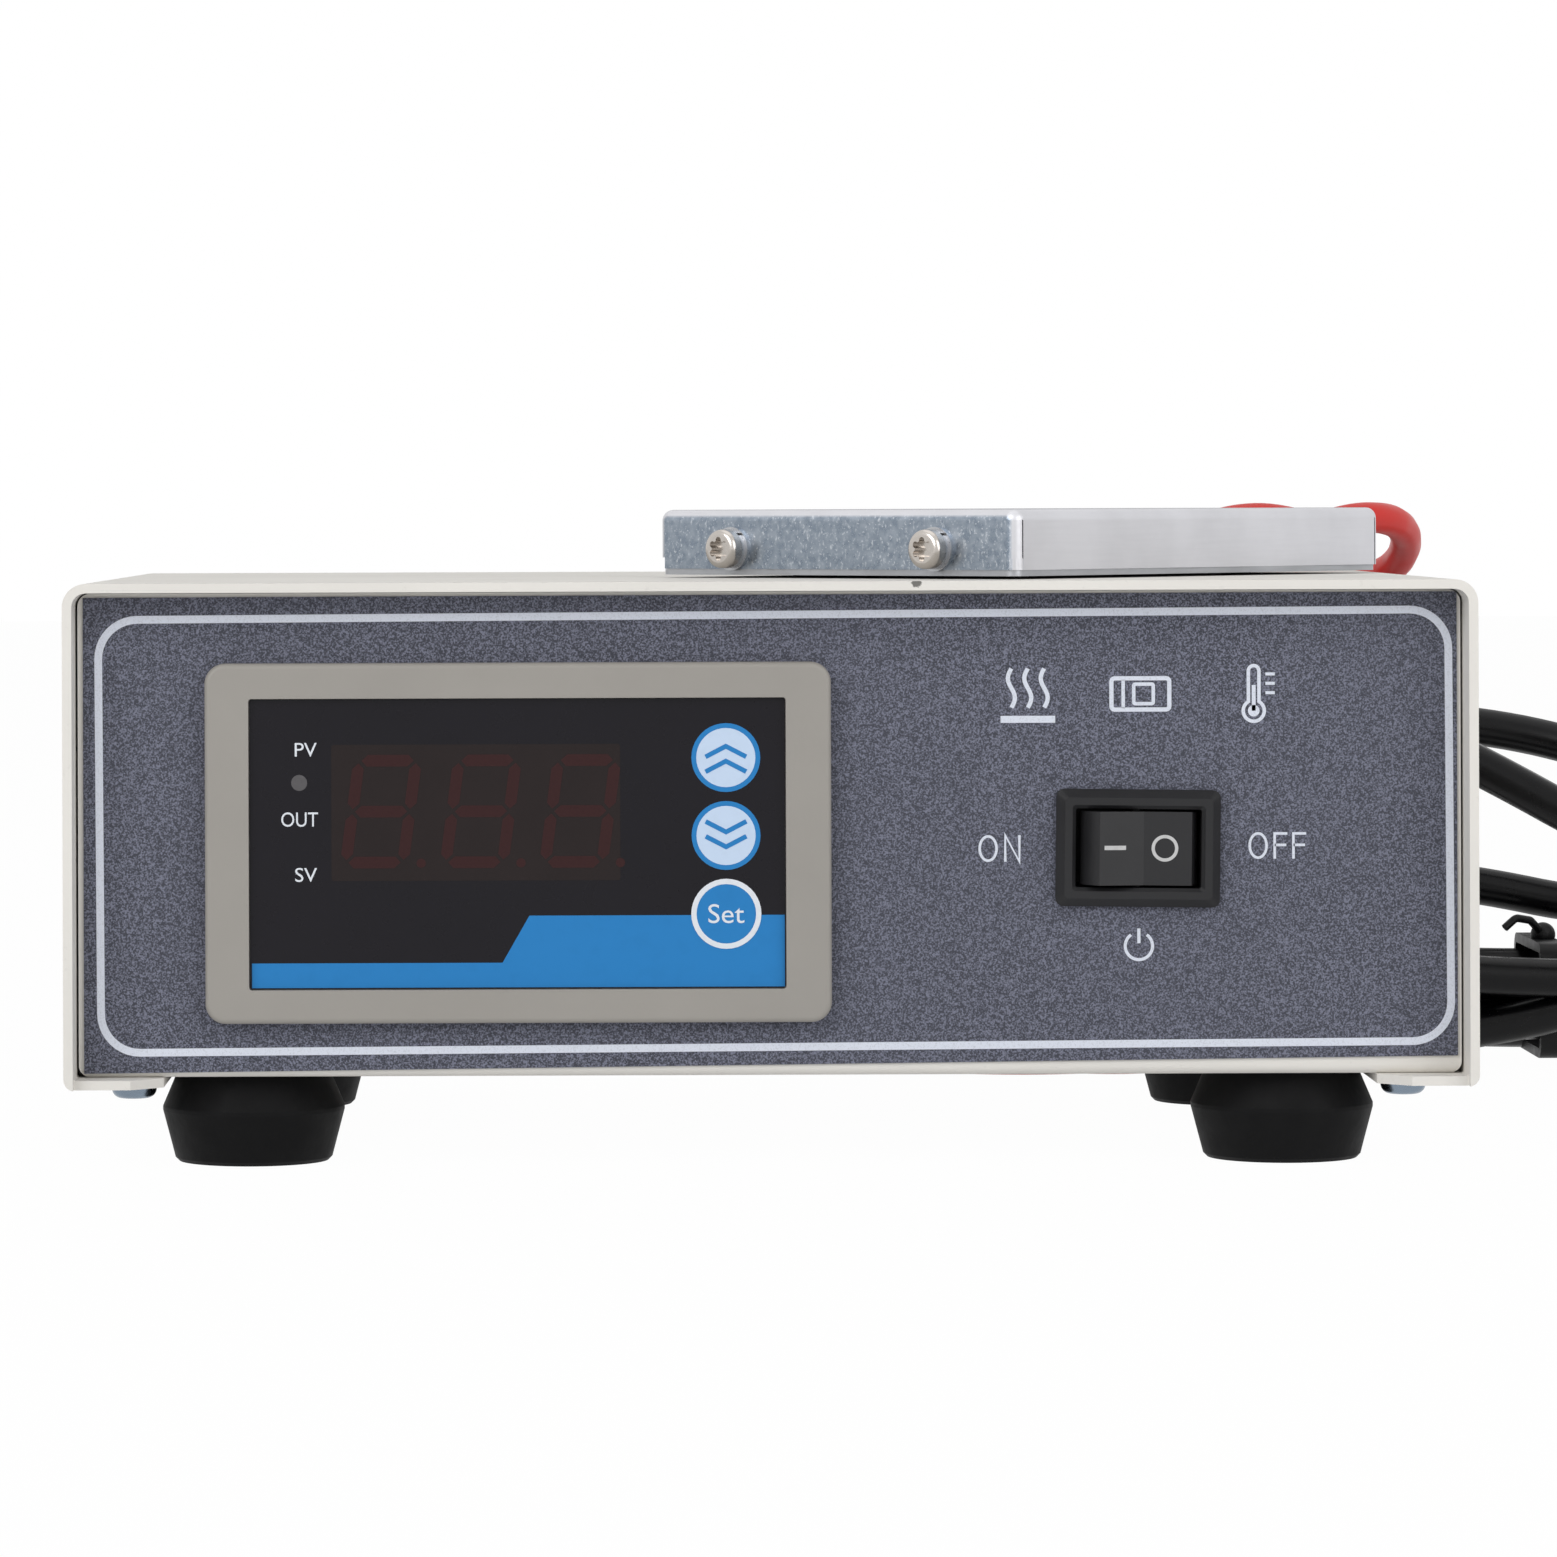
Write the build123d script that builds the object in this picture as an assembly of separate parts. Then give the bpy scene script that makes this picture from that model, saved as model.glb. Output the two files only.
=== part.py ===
"""Bench slide warmer: a folded-sheet control box, a heated stage that lies on its top, and their two cords.

Millimetres. The origin is the centre of the box's footprint on the bench. +X is the right side as one
faces the front panel, +Y runs from the front to the rear, +Z is up.
"""

from build123d import *
import math
import os

os.makedirs("parts", exist_ok=True)

# Housing
box_width = 180.0
box_depth = 130.0
cover_top = 75.1
cover_sheet = 1.2
cover_bend = 3.0
cover_lower_bend = 1.5
flange_relief = 1.8
flange_width = 12.4
flange_chamfer = 4.0
foot_height = 11.8
chassis_sheet = 1.0
chassis_bend = 1.2
chassis_corner = 1.6
panel_recess = 6.4
side_gap = 0.3
top_gap = 0.15
screw_head = 5.8
screw_head_high = 2.1
m3 = 3.0
m3_pilot = 2.9
m4 = 4.0
hole_clearance = 0.4
cover_screw_inset = 8.0
cover_screw_end = 15.0
cover_screw_long = 7.0

# Feet
foot_x = 66.8
foot_y_front = -45.0
foot_y_rear = 37.0
foot_top_radius = 9.8
foot_widest_radius = 11.8
foot_bottom_radius = 10.2
foot_widest_height = 6.6
foot_edge = 0.5
foot_well_radius = 5.0
foot_well_depth = 5.0
foot_screw_head = 7.6
foot_screw_head_high = 2.6
foot_screw_reach = 6.0

# Front label, cut and pasted a little askew: X, lower z and upper z of its two ends
label_thick = 0.3
label_left = (-87.8, 12.35, 73.25)
label_right = (88.0, 14.1, 73.5)

# Temperature controller
controller_x = -32.15
controller_z = 41.8
bezel_width = 80.0
bezel_height = 46.0
bezel_thick = 2.4
bezel_corner = 2.6
window_width = 68.6
window_height = 37.2
window_shift_x = -0.1
window_shift_z = -0.1
window_depth = 1.2
film_thick = 0.4
film_margin = 0.1
case_width = 75.0
case_height = 42.0
case_depth = 60.0
case_wall = 1.8
cutout_margin = 0.3
display_width = 36.9
display_height = 17.4
display_x = -37.5
display_z = 45.5
display_deep = 8.0
lamp_x = -60.0
lamp_z = 49.6
lamp_diameter = 3.0
key_x = -5.6
key_z = {"up": 52.6, "down": 42.65, "set": 32.65}
key_hole = 5.0
plunger_diameter = 3.4
plunger_fit = 0.05
plunger_behind_film = 0.1
plunger_sunk = 1.0
key_travel = 0.25
key_body = 6.0
key_body_high = 3.6
board_thick = 1.6
board_margin = 0.15
clip_high = 12.0
clip_long = 26.0
clip_thick = 2.0
clip_foot = 3.5
strip_width = 60.0
strip_high = 11.0
strip_deep = 8.0
strip_ways = 8

# Power switch
switch_x = 47.1
switch_z = 40.8
switch_turn = 0.8
frame_width = 21.0
frame_height = 15.0
frame_proud = 2.0
frame_bevel = 1.1
frame_corner = 1.5
switch_body_width = 18.8
switch_body_height = 12.6
switch_body_depth = 14.0
mouth_width = 14.0
mouth_height = 9.9
mouth_lip = 0.8
pocket_width = 16.4
pocket_depth = 11.0
rocker_radius = 7.8
rocker_half_high = 4.7
rocker_swing = 10.0
rocker_corner_x = 6.05
rocker_valley = 3.85
rocker_back = 1.3
pivot_behind_face = 4.5
trunnion_radius = 0.8
trunnion_fit = 0.05
trunnion_long = 0.9
terminal_width = 4.8
terminal_thick = 0.8
terminal_long = 8.0

# Inside the box
core_width = 60.0
core_height = 50.0
core_stack = 22.0
core_limb = 10.0
core_x = -16.0
core_y = 33.0
coil_deep = 42.0
coil_corner = 3.0
bracket_sheet = 1.2
bracket_foot = 11.0
block_x = 50.0
block_y = 18.0
block_long = 40.0
block_wide = 18.0
block_high = 15.0
block_ways = 4
earth_x = 60.0
earth_y = -6.0

# Rear panel
mains_gland_x = 66.0
mains_gland_z = 49.5
mains_diameter = 6.0
boot_long = 28.0
lead_gland_x = 16.0
lead_gland_z = 25.0
lead_diameter = 4.6
lead_gland_long = 12.0
fuse_x = -68.0
fuse_z = 45.0
fuse_barrel = 6.0
fuse_flange = 8.0
fuse_flange_thick = 1.6
fuse_bore = 4.2
fuse_reach = 30.0

# Stage
stage_x = 36.55
stage_y = 0.9
stage_turn = 50.0
stage_long = 85.0
stage_wide = 60.0
stage_pad = 0.4
stage_sheet = 1.0
stage_bend = 1.6
stage_corner_cut = 1.5
pan_high = 7.9
base_sheet = 0.8
tab_high = 6.4
mat_thick = 1.5
mat_margin = 3.5
mat_corner = 3.0
stage_screw_height = 3.5
stage_screw_places = ((-1, -17.0), (-1, 17.0), (1, -17.0), (1, 4.0))
stage_screw_long = 7.0
stage_head = 5.2
stage_head_high = 1.9
recess_radius = 1.45
recess_deep = 1.2
washer_thick = 0.5
washer_radius = 2.9
lock_washer_thick = 0.7
lock_washer_radius = 2.55
lock_washer_gap = 0.5
bush_y = 20.0
bush_height = 4.1
bush_proud = 2.0
bush_wall = 1.2
bush_flange = 0.5
pad_radius = 3.0
pad_x = 26.0
pad_y = 16.0
seam_width = 0.2
sensor_radius = 1.5
sensor_long = 24.0

# Stage lead: out of the stage, round a loop on the box's top, over the rear edge and down to its coil
lead_route = [
    (49.83, 47.85, 79.6),
    (56.0, 55.2, 80.5),
    (65.4, 60.3, 81.9),
    (74.6, 62.9, 82.8),
    (83.6, 65.4, 82.0),
    (91.6, 69.4, 81.9),
    (97.6, 76.2, 80.3),
    (99.4, 85.2, 77.4),
    (95.8, 93.6, 74.4),
    (88.2, 98.8, 72.4),
    (79.2, 99.6, 70.6),
    (70.0, 97.6, 68.4),
    (61.2, 94.6, 64.6),
    (53.3, 91.4, 58.4),
    (46.9, 88.8, 50.6),
    (42.6, 86.4, 41.8),
    (40.6, 83.6, 32.4),
    (40.8, 80.4, 22.8),
    (43.6, 77.6, 13.8),
    (50.4, 76.4, 7.0),
]
lead_coil_x = 44.0
lead_coil_y = 100.0
lead_coil_radius = 25.0
lead_coil_thick = 9.6
lead_tail_route = [
    (19.3, 100.5, 8.8),
    (18.9, 94.5, 13.0),
    (17.5, 87.5, 20.0),
    (16.0, 79.0, 25.0),
    (16.0, 70.6, 25.0),
]

# Mains cord: out of the boot, round to the right and down into the hank; its other end climbs out of the
# hank, loops over the first stretch and comes down to the plug
mains_route = [
    (66.0, 86.6, 49.5),
    (66.0, 103.0, 50.2),
    (73.5, 119.5, 51.0),
    (88.5, 130.5, 51.3),
    (107.0, 134.0, 50.9),
    (126.0, 132.0, 48.3),
    (143.0, 124.5, 42.5),
    (151.5, 112.5, 33.5),
    (149.0, 101.0, 23.5),
    (138.5, 96.0, 15.5),
    (128.5, 99.5, 11.0),
]
mains_end_route = [
    (98.5, 97.2, 13.4),
    (85.5, 97.0, 19.5),
    (75.0, 104.7, 23.6),
    (71.0, 117.0, 25.6),
    (75.0, 129.3, 26.4),
    (85.5, 137.0, 26.6),
    (101.0, 139.4, 26.2),
    (116.0, 138.0, 24.8),
    (134.0, 136.5, 21.0),
    (152.0, 131.0, 21.6),
    (166.0, 119.5, 22.6),
    (170.5, 102.5, 24.0),
    (162.0, 87.5, 26.0),
    (146.0, 81.0, 29.0),
    (129.0, 82.5, 34.8),
    (111.5, 87.0, 44.8),
    (94.0, 93.0, 53.5),
    (76.0, 99.5, 58.6),
    (57.0, 105.0, 58.4),
    (39.0, 109.5, 52.0),
    (23.0, 112.5, 41.0),
    (9.0, 113.5, 28.5),
    (-4.5, 113.0, 16.5),
    (-19.0, 111.5, 9.2),
    (-34.0, 110.5, 9.2),
]
hank_x = 123.5
hank_y = 118.0
hank_half_long = 52.0
hank_end_radius = 25.0
hank_waist = 13.0
hank_high = 15.8
hank_edge = 4.5
hank_waist_bend = 10.0
tie_width = 4.0
tie_thick = 1.5
tie_clearance = 0.3
tie_wire = 1.2
tie_knot = 1.9
tie_tail = [(0, -3.0, 1.0), (-2.5, -7.0, 3.4), (-5.0, -9.2, 3.9), (-6.8, -9.8, 2.4)]
plug_long = 36.0
plug_wide = 36.0
plug_high = 18.0
plug_boot = 14.0
plug_shoulder = 12.0
plug_throat = (16.0, 13.0, 5.0)
plug_corner = 5.0
plug_face_edge = 1.2
pin_long = 17.0
pin_wide = 6.3
pin_thick = 1.6
pin_spread = 7.9

# Places worked out from the sizes above
front_y = -box_depth / 2
rear_y = box_depth / 2
panel_y = front_y + panel_recess
rear_panel_y = rear_y - panel_recess
label_y = panel_y - label_thick
bezel_y = label_y - bezel_thick
plate_y = bezel_y + window_depth
floor_z = foot_height + chassis_sheet
flange_z = foot_height - cover_sheet
chassis_top = cover_top - cover_sheet - top_gap
chassis_width = box_width - 2 * cover_sheet - 2 * side_gap
window_x = controller_x + window_shift_x
window_z = controller_z + window_shift_z
board_y = plate_y + plunger_behind_film + display_deep
stage_bottom = cover_top + stage_pad
pan_bottom = stage_bottom + base_sheet
switch_face = label_y - frame_proud
pivot_y = switch_face + pivot_behind_face
feet_places = [
    (side * foot_x, y) for y in (foot_y_front, foot_y_rear) for side in (-1, 1)
]
cover_screw_x = box_width / 2 - cover_screw_inset
cover_screw_y = box_depth / 2 - cover_screw_end
cover_screw_places = [
    (side * cover_screw_x, end * cover_screw_y) for end in (-1, 1) for side in (-1, 1)
]

nodes = {}


def block(x0, x1, y0, y1, z0, z1):
    """A box from its low corner to its high corner."""
    size = Box(x1 - x0, y1 - y0, z1 - z0)
    return Pos((x0 + x1) / 2, (y0 + y1) / 2, (z0 + z1) / 2) * size


def rod_y(x, z, y0, y1, radius):
    """A round bar along Y."""
    return Pos(x, (y0 + y1) / 2, z) * Rot(90, 0, 0) * Cylinder(radius, y1 - y0)


def rod_z(x, y, z0, z1, radius):
    """A round bar along Z."""
    return Pos(x, y, (z0 + z1) / 2) * Cylinder(radius, z1 - z0)


def plate_xz(x, z, y0, y1, width, height, corner):
    """A flat plate in the XZ plane with rounded corners, from y0 to y1."""
    outline = RectangleRounded(width, height, corner)
    return Pos(x, y1, z) * Rot(90, 0, 0) * extrude(outline, y1 - y0)


def group(pieces):
    """Separate solids of one node."""
    return Compound(children=[piece.solid() for piece in pieces])


def solid_volume(shape):
    return sum(piece.volume for piece in shape.solids())


# Housing


def cover_outline(inset):
    """The cover's outline from the front, or the same line moved inwards."""
    height = cover_top - flange_z - 2 * inset
    outline = Rectangle(box_width - 2 * inset, height)
    outline = fillet(outline.vertices().group_by(Axis.Y)[-1], cover_bend - inset)
    low = outline.vertices().group_by(Axis.Y)[0]
    return fillet(low, cover_lower_bend - inset)


def make_cover():
    """One folded sheet: top, two sides and an inward flange along each lower edge."""
    height = cover_top - flange_z
    opening = Pos(0, -height / 2) * Rectangle(
        box_width - 2 * flange_width, 4 * cover_sheet
    )
    profile = cover_outline(0) - cover_outline(cover_sheet) - opening
    middle_z = (cover_top + flange_z) / 2
    shell = Pos(0, rear_y, middle_z) * Rot(90, 0, 0) * extrude(profile, box_depth)
    reach = box_width / 2 - cover_sheet
    shell -= block(
        -reach, reach, front_y - 1, front_y + flange_relief, flange_z - 1, foot_height + 0.3
    )
    ends = [
        edge
        for edge in shell.edges().filter_by(Axis.Z)
        if abs(abs(edge.center().X) - (box_width / 2 - flange_width)) < 0.1
    ]
    shell = chamfer(ends, flange_chamfer)
    for x, y in cover_screw_places:
        hole = (m3 + hole_clearance) / 2
        shell -= rod_z(x, y, flange_z - 1, foot_height + 0.5, hole)
    return shell


def make_chassis():
    """One folded sheet: front, floor and rear."""
    depth = rear_panel_y - panel_y
    height = chassis_top - foot_height
    outside = Rectangle(depth, height)
    outside = fillet(outside.vertices().group_by(Axis.Y)[0], chassis_bend)
    inside = Pos(0, chassis_sheet) * Rectangle(depth - 2 * chassis_sheet, height)
    inside_bend = chassis_bend - chassis_sheet
    inside = fillet(inside.vertices().group_by(Axis.Y)[0], inside_bend)
    section = Plane.YZ * (outside - inside)
    tray = Pos(-chassis_width / 2, 0, foot_height + height / 2) * extrude(
        section, chassis_width
    )
    middle_z = foot_height + height / 2
    tray &= plate_xz(0, middle_z, front_y, rear_y, chassis_width, height, chassis_corner)
    front = (panel_y - 1, panel_y + chassis_sheet + 1)
    rear = (rear_panel_y - chassis_sheet - 1, rear_panel_y + 1)
    tray -= plate_xz(
        controller_x,
        controller_z,
        *front,
        case_width + 2 * cutout_margin,
        case_height + 2 * cutout_margin,
        0.6,
    )
    tray -= switch_place() * switch_cutout(*front)
    for x, y in feet_places:
        tray -= rod_z(x, y, foot_height - 1, floor_z + 1, (m4 + hole_clearance) / 2)
    for x, y in cover_screw_places:
        tray -= rod_z(x, y, foot_height - 1, floor_z + 1, m3 / 2 + plunger_fit)
    tray -= rod_y(mains_gland_x, mains_gland_z, *rear, gland_neck(mains_diameter))
    tray -= rod_y(lead_gland_x, lead_gland_z, *rear, gland_neck(lead_diameter))
    tray -= rod_y(fuse_x, fuse_z, *rear, fuse_barrel + hole_clearance / 2)
    for x, y in bracket_screw_places():
        tray -= rod_z(x, y, foot_height - 1, floor_z + 1, m3 / 2 + plunger_fit)
    tray -= rod_z(earth_x, earth_y, foot_height - 1, floor_z + 1, m4 / 2 + plunger_fit)
    return tray


def make_label():
    """The pasted front sheet, with the openings for the controller and the switch."""
    left_x, left_low, left_high = label_left
    right_x, right_low, right_high = label_right
    outline = make_face(
        Polyline(
            (left_x, left_low),
            (right_x, right_low),
            (right_x, right_high),
            (left_x, left_high),
            (left_x, left_low),
        )
    )
    sheet = Pos(0, panel_y, 0) * extrude(Plane.XZ * outline, label_thick)
    sheet -= plate_xz(
        controller_x,
        controller_z,
        label_y - 1,
        panel_y + 1,
        case_width + 2 * cutout_margin,
        case_height + 2 * cutout_margin,
        0.6,
    )
    sheet -= switch_place() * switch_cutout(label_y - 1, panel_y + 1)
    height = chassis_top - foot_height
    middle_z = foot_height + height / 2
    return sheet & plate_xz(
        0, middle_z, label_y - 1, panel_y + 1, chassis_width, height, chassis_corner
    )


def make_foot(x, y):
    """A rubber barrel foot with a screw well in its underside."""
    profile = make_face(
        Polyline(
            (0, 0),
            (foot_bottom_radius - foot_edge, 0),
            (foot_bottom_radius, foot_edge),
            (foot_widest_radius, foot_widest_height),
            (foot_widest_radius, foot_widest_height + 0.5),
            (foot_top_radius, foot_height),
            (0, foot_height),
            (0, 0),
        )
    )
    barrel = revolve(Plane.XZ * profile, Axis.Z)
    barrel -= rod_z(0, 0, -1, foot_well_depth, foot_well_radius)
    barrel -= rod_z(0, 0, 0, foot_height + 1, m4 / 2 + plunger_fit)
    return Pos(x, y, 0) * barrel


def pan_screw(diameter, head, head_high, length):
    """A pan-head screw along -Z, its head's seat at the origin, with a cross recess."""
    dome = Pos(0, 0, head_high / 2) * Cylinder(head / 2, head_high)
    dome = fillet(dome.edges().group_by(Axis.Z)[-1], head_high * 0.6)
    recess = Box(head * 0.55, 0.7, 1.6) + Box(0.7, head * 0.55, 1.6)
    dome -= Pos(0, 0, head_high) * recess
    shank = Pos(0, 0, -length / 2) * Cylinder(diameter / 2, length)
    return dome + shank


def make_cover_screws():
    """Four screws, heads down under the cover's flanges."""
    screw = pan_screw(m3, screw_head, screw_head_high, cover_screw_long)
    return group(
        [Pos(x, y, flange_z) * Rot(180, 0, 0) * screw for x, y in cover_screw_places]
    )


def make_foot_screws():
    """One screw up through each foot and the floor."""
    length = foot_height - foot_well_depth + foot_screw_reach
    screw = pan_screw(m4, foot_screw_head, foot_screw_head_high, length)
    return group(
        [
            Pos(x, y, foot_well_depth) * Rot(180, 0, 0) * screw
            for x, y in feet_places
        ]
    )


def hexagon_nut(across, high, bore):
    nut = extrude(RegularPolygon(across / 2, 6, major_radius=False), high)
    return nut - Pos(0, 0, high / 2) * Cylinder(bore, high + 1)


def make_foot_nuts():
    nut = hexagon_nut(7.0, 3.2, m4 / 2 + plunger_fit)
    return group([Pos(x, y, floor_z) * nut for x, y in feet_places])


# Temperature controller


def make_bezel():
    """The grey front frame with its recessed plate, opened for the display, the lamp and the keys."""
    frame = plate_xz(
        controller_x,
        controller_z,
        bezel_y,
        label_y,
        bezel_width,
        bezel_height,
        bezel_corner,
    )
    frame = fillet(frame.faces().sort_by(Axis.Y)[0].edges(), 0.7)
    frame -= plate_xz(
        window_x, window_z, bezel_y - 1, plate_y, window_width, window_height, 0.4
    )
    frame -= plate_xz(
        display_x,
        display_z,
        plate_y - 1,
        label_y + 1,
        display_width + 2 * board_margin,
        display_height + 2 * board_margin,
        0.3,
    )
    frame -= rod_y(lamp_x, lamp_z, plate_y - 1, label_y + 1, lamp_diameter / 2 + 0.1)
    for height in key_z.values():
        frame -= rod_y(key_x, height, plate_y - 1, label_y + 1, key_hole / 2)
    return frame


def make_film():
    """The printed overlay, pasted in the frame's recess."""
    return plate_xz(
        window_x,
        window_z,
        plate_y - film_thick,
        plate_y,
        window_width - 2 * film_margin,
        window_height - 2 * film_margin,
        0.3,
    )


def make_case():
    """The controller's open-fronted box, with vent slots in its top."""
    back_y = label_y + case_depth
    shell = plate_xz(
        controller_x, controller_z, label_y, back_y, case_width, case_height, 1.2
    )
    shell -= plate_xz(
        controller_x,
        controller_z,
        label_y - 1,
        back_y - case_wall,
        case_width - 2 * case_wall,
        case_height - 2 * case_wall,
        0.6,
    )
    slot_y = (label_y + 22.0, back_y - 10.0)
    top = controller_z + case_height / 2
    for step in range(-4, 5):
        x = controller_x + step * 7.0
        shell -= block(x - 1.0, x + 1.0, *slot_y, top - case_wall - 1, top + 1)
    return shell


def make_board():
    """The circuit board that carries the display, the lamp and the key switches."""
    return plate_xz(
        controller_x,
        controller_z,
        board_y,
        board_y + board_thick,
        case_width - 2 * case_wall - 2 * board_margin,
        case_height - 2 * case_wall - 2 * board_margin,
        0.5,
    )


def make_display():
    return plate_xz(
        display_x,
        display_z,
        board_y - display_deep,
        board_y,
        display_width,
        display_height,
        0.2,
    )


def make_lamp():
    """A round-nosed lamp behind the film."""
    lamp = rod_y(
        lamp_x,
        lamp_z,
        plate_y + plunger_behind_film,
        board_y,
        lamp_diameter / 2,
    )
    return fillet(lamp.edges().group_by(Axis.Y)[0], lamp_diameter * 0.4)


def make_key_body(height):
    """A tact switch's body with the plunger's well."""
    half = key_body / 2
    body_y = board_y - key_body_high
    body = block(key_x - half, key_x + half, body_y, board_y, height - half, height + half)
    body = chamfer(body.faces().sort_by(Axis.Y)[0].edges(), 0.4)
    well_y = body_y + plunger_sunk + key_travel + 0.15
    well = plunger_diameter / 2 + plunger_fit
    return body - rod_y(key_x, height, body_y - 1, well_y, well)


def make_key_plunger(height):
    """The plunger that the film presses: it travels straight in."""
    body_y = board_y - key_body_high
    tip_y = plate_y + plunger_behind_film
    return rod_y(key_x, height, tip_y, body_y + plunger_sunk, plunger_diameter / 2)


def make_clip(side):
    """The sliding clip that pulls the bezel against the panel, on one side of the case."""
    wall_x = controller_x + side * case_width / 2
    inner_y = panel_y + chassis_sheet
    low, high = controller_z - clip_high / 2, controller_z + clip_high / 2
    leg_x = sorted((wall_x, wall_x + side * clip_thick))
    foot_x_range = sorted((wall_x, wall_x + side * (clip_thick + clip_foot)))
    clip = block(*leg_x, inner_y, inner_y + clip_long, low, high)
    clip += block(*foot_x_range, inner_y, inner_y + clip_thick, low, high)
    rib_x = sorted((wall_x, wall_x + side * (clip_thick + 1.2)))
    for step in range(3):
        rib_y = inner_y + clip_long - 3.0 - 4.0 * step
        clip += block(*rib_x, rib_y, rib_y + 1.4, low, high)
    return clip


def make_terminal_strip():
    """The screw terminals across the controller's back."""
    back_y = label_y + case_depth
    low_x = controller_x - strip_width / 2
    high_x = controller_x + strip_width / 2
    low_z = controller_z - strip_high / 2
    strip = block(low_x, high_x, back_y, back_y + strip_deep, low_z, low_z + strip_high)
    pitch = strip_width / strip_ways
    for way in range(strip_ways):
        x = low_x + (way + 0.5) * pitch
        strip -= block(
            x - pitch * 0.36,
            x + pitch * 0.36,
            back_y + strip_deep / 2,
            back_y + strip_deep + 1,
            low_z + 2.0,
            low_z + strip_high + 1,
        )
        strip += rod_y(x, low_z + 6.0, back_y + 3.0, back_y + strip_deep - 1.2, 2.2)
    return strip


# Power switch


def switch_place():
    """The switch's own frame: its face in XZ, turned a little about Y, centred on the switch."""
    return Pos(switch_x, 0, switch_z) * Rot(0, switch_turn, 0)


def switch_cutout(y0, y1):
    return plate_xz(
        0,
        0,
        y0,
        y1,
        switch_body_width + 2 * cutout_margin,
        switch_body_height + 2 * cutout_margin,
        0.5,
    )


def make_switch_frame():
    """The switch's bezel and body in one moulding, with a lipped mouth, trunnion sockets and latches."""
    rim = plate_xz(0, 0, switch_face, label_y, frame_width, frame_height, frame_corner)
    rim = chamfer(rim.faces().sort_by(Axis.Y)[0].edges(), frame_bevel)
    body_y = label_y + switch_body_depth
    body = plate_xz(0, 0, label_y, body_y, switch_body_width, switch_body_height, 0.5)
    body += rim
    for side in (-1, 1):
        wall = side * switch_body_width / 2
        latch = make_face(
            Polyline(
                (wall, panel_y + chassis_sheet + 0.2),
                (wall + side * 1.3, panel_y + chassis_sheet + 0.2),
                (wall, panel_y + chassis_sheet + 7.0),
                (wall, panel_y + chassis_sheet + 0.2),
            )
        )
        body += Pos(0, 0, -2.5) * extrude(latch, 5.0, dir=(0, 0, 1))
    body -= plate_xz(
        0, 0, switch_face - 1, switch_face + mouth_lip + 0.01, mouth_width, mouth_height, 0.3
    )
    body -= plate_xz(
        0,
        0,
        switch_face + mouth_lip,
        switch_face + mouth_lip + pocket_depth,
        pocket_width,
        mouth_height,
        0.3,
    )
    socket_long = 2 * (rocker_half_high + trunnion_long + 0.15)
    return body - rod_z(
        0,
        pivot_y,
        -socket_long / 2,
        socket_long / 2,
        trunnion_radius + trunnion_fit,
    )


def make_rocker():
    """The rocker: two faces meeting in a shallow valley, ends round about the pivot, two trunnions."""
    corner_y = -math.sqrt(rocker_radius**2 - rocker_corner_x**2)
    root_x = math.sqrt(rocker_radius**2 - rocker_back**2)
    middle = math.atan2(corner_y - rocker_back, rocker_corner_x + root_x)
    bulge = (rocker_radius * math.cos(middle), rocker_radius * math.sin(middle))
    outline = [
        Line((-rocker_corner_x, corner_y), (0, -rocker_valley)),
        Line((0, -rocker_valley), (rocker_corner_x, corner_y)),
        ThreePointArc((rocker_corner_x, corner_y), bulge, (root_x, -rocker_back)),
        Line((root_x, -rocker_back), (2.0, -rocker_back)),
        Line((2.0, -rocker_back), (1.4, rocker_back)),
        Line((1.4, rocker_back), (-1.4, rocker_back)),
        Line((-1.4, rocker_back), (-2.0, -rocker_back)),
        Line((-2.0, -rocker_back), (-root_x, -rocker_back)),
        ThreePointArc(
            (-root_x, -rocker_back), (-bulge[0], bulge[1]), (-rocker_corner_x, corner_y)
        ),
    ]
    profile = make_face(outline)
    rocker = Pos(0, 0, -rocker_half_high) * extrude(
        profile, 2 * rocker_half_high, dir=(0, 0, 1)
    )
    trunnion_end = rocker_half_high + trunnion_long
    rocker += rod_z(0, 0, -trunnion_end, trunnion_end, trunnion_radius)
    return Pos(0, pivot_y, 0) * Rot(0, 0, rocker_swing) * rocker


def make_switch_terminals():
    """Two spade terminals out of the switch's back."""
    back_y = label_y + switch_body_depth
    blades = []
    for x in (-4.5, 4.5):
        blade = block(
            x - terminal_thick / 2,
            x + terminal_thick / 2,
            back_y,
            back_y + terminal_long,
            -terminal_width / 2,
            terminal_width / 2,
        )
        hole = Pos(x, back_y + terminal_long - 2.5, 0) * Rot(0, 90, 0)
        blades.append(blade - hole * Cylinder(0.8, 4))
    return group([switch_place() * blade for blade in blades])


# Inside the box


def bracket_screw_places():
    reach = core_width / 2 + bracket_sheet + bracket_foot / 2
    return [(core_x - reach, core_y), (core_x + reach, core_y)]


def make_transformer_core():
    """Stacked E and I sheets: three limbs with two windows."""
    base_z = floor_z + bracket_sheet
    core = block(
        core_x - core_width / 2,
        core_x + core_width / 2,
        core_y - core_stack / 2,
        core_y + core_stack / 2,
        base_z,
        base_z + core_height,
    )
    for side in (-1, 1):
        inner = core_x + side * core_limb
        outer = core_x + side * (core_width / 2 - core_limb)
        window = sorted((inner, outer))
        core -= block(
            *window,
            core_y - core_stack,
            core_y + core_stack,
            base_z + core_limb,
            base_z + core_height - core_limb,
        )
    return core


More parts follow.
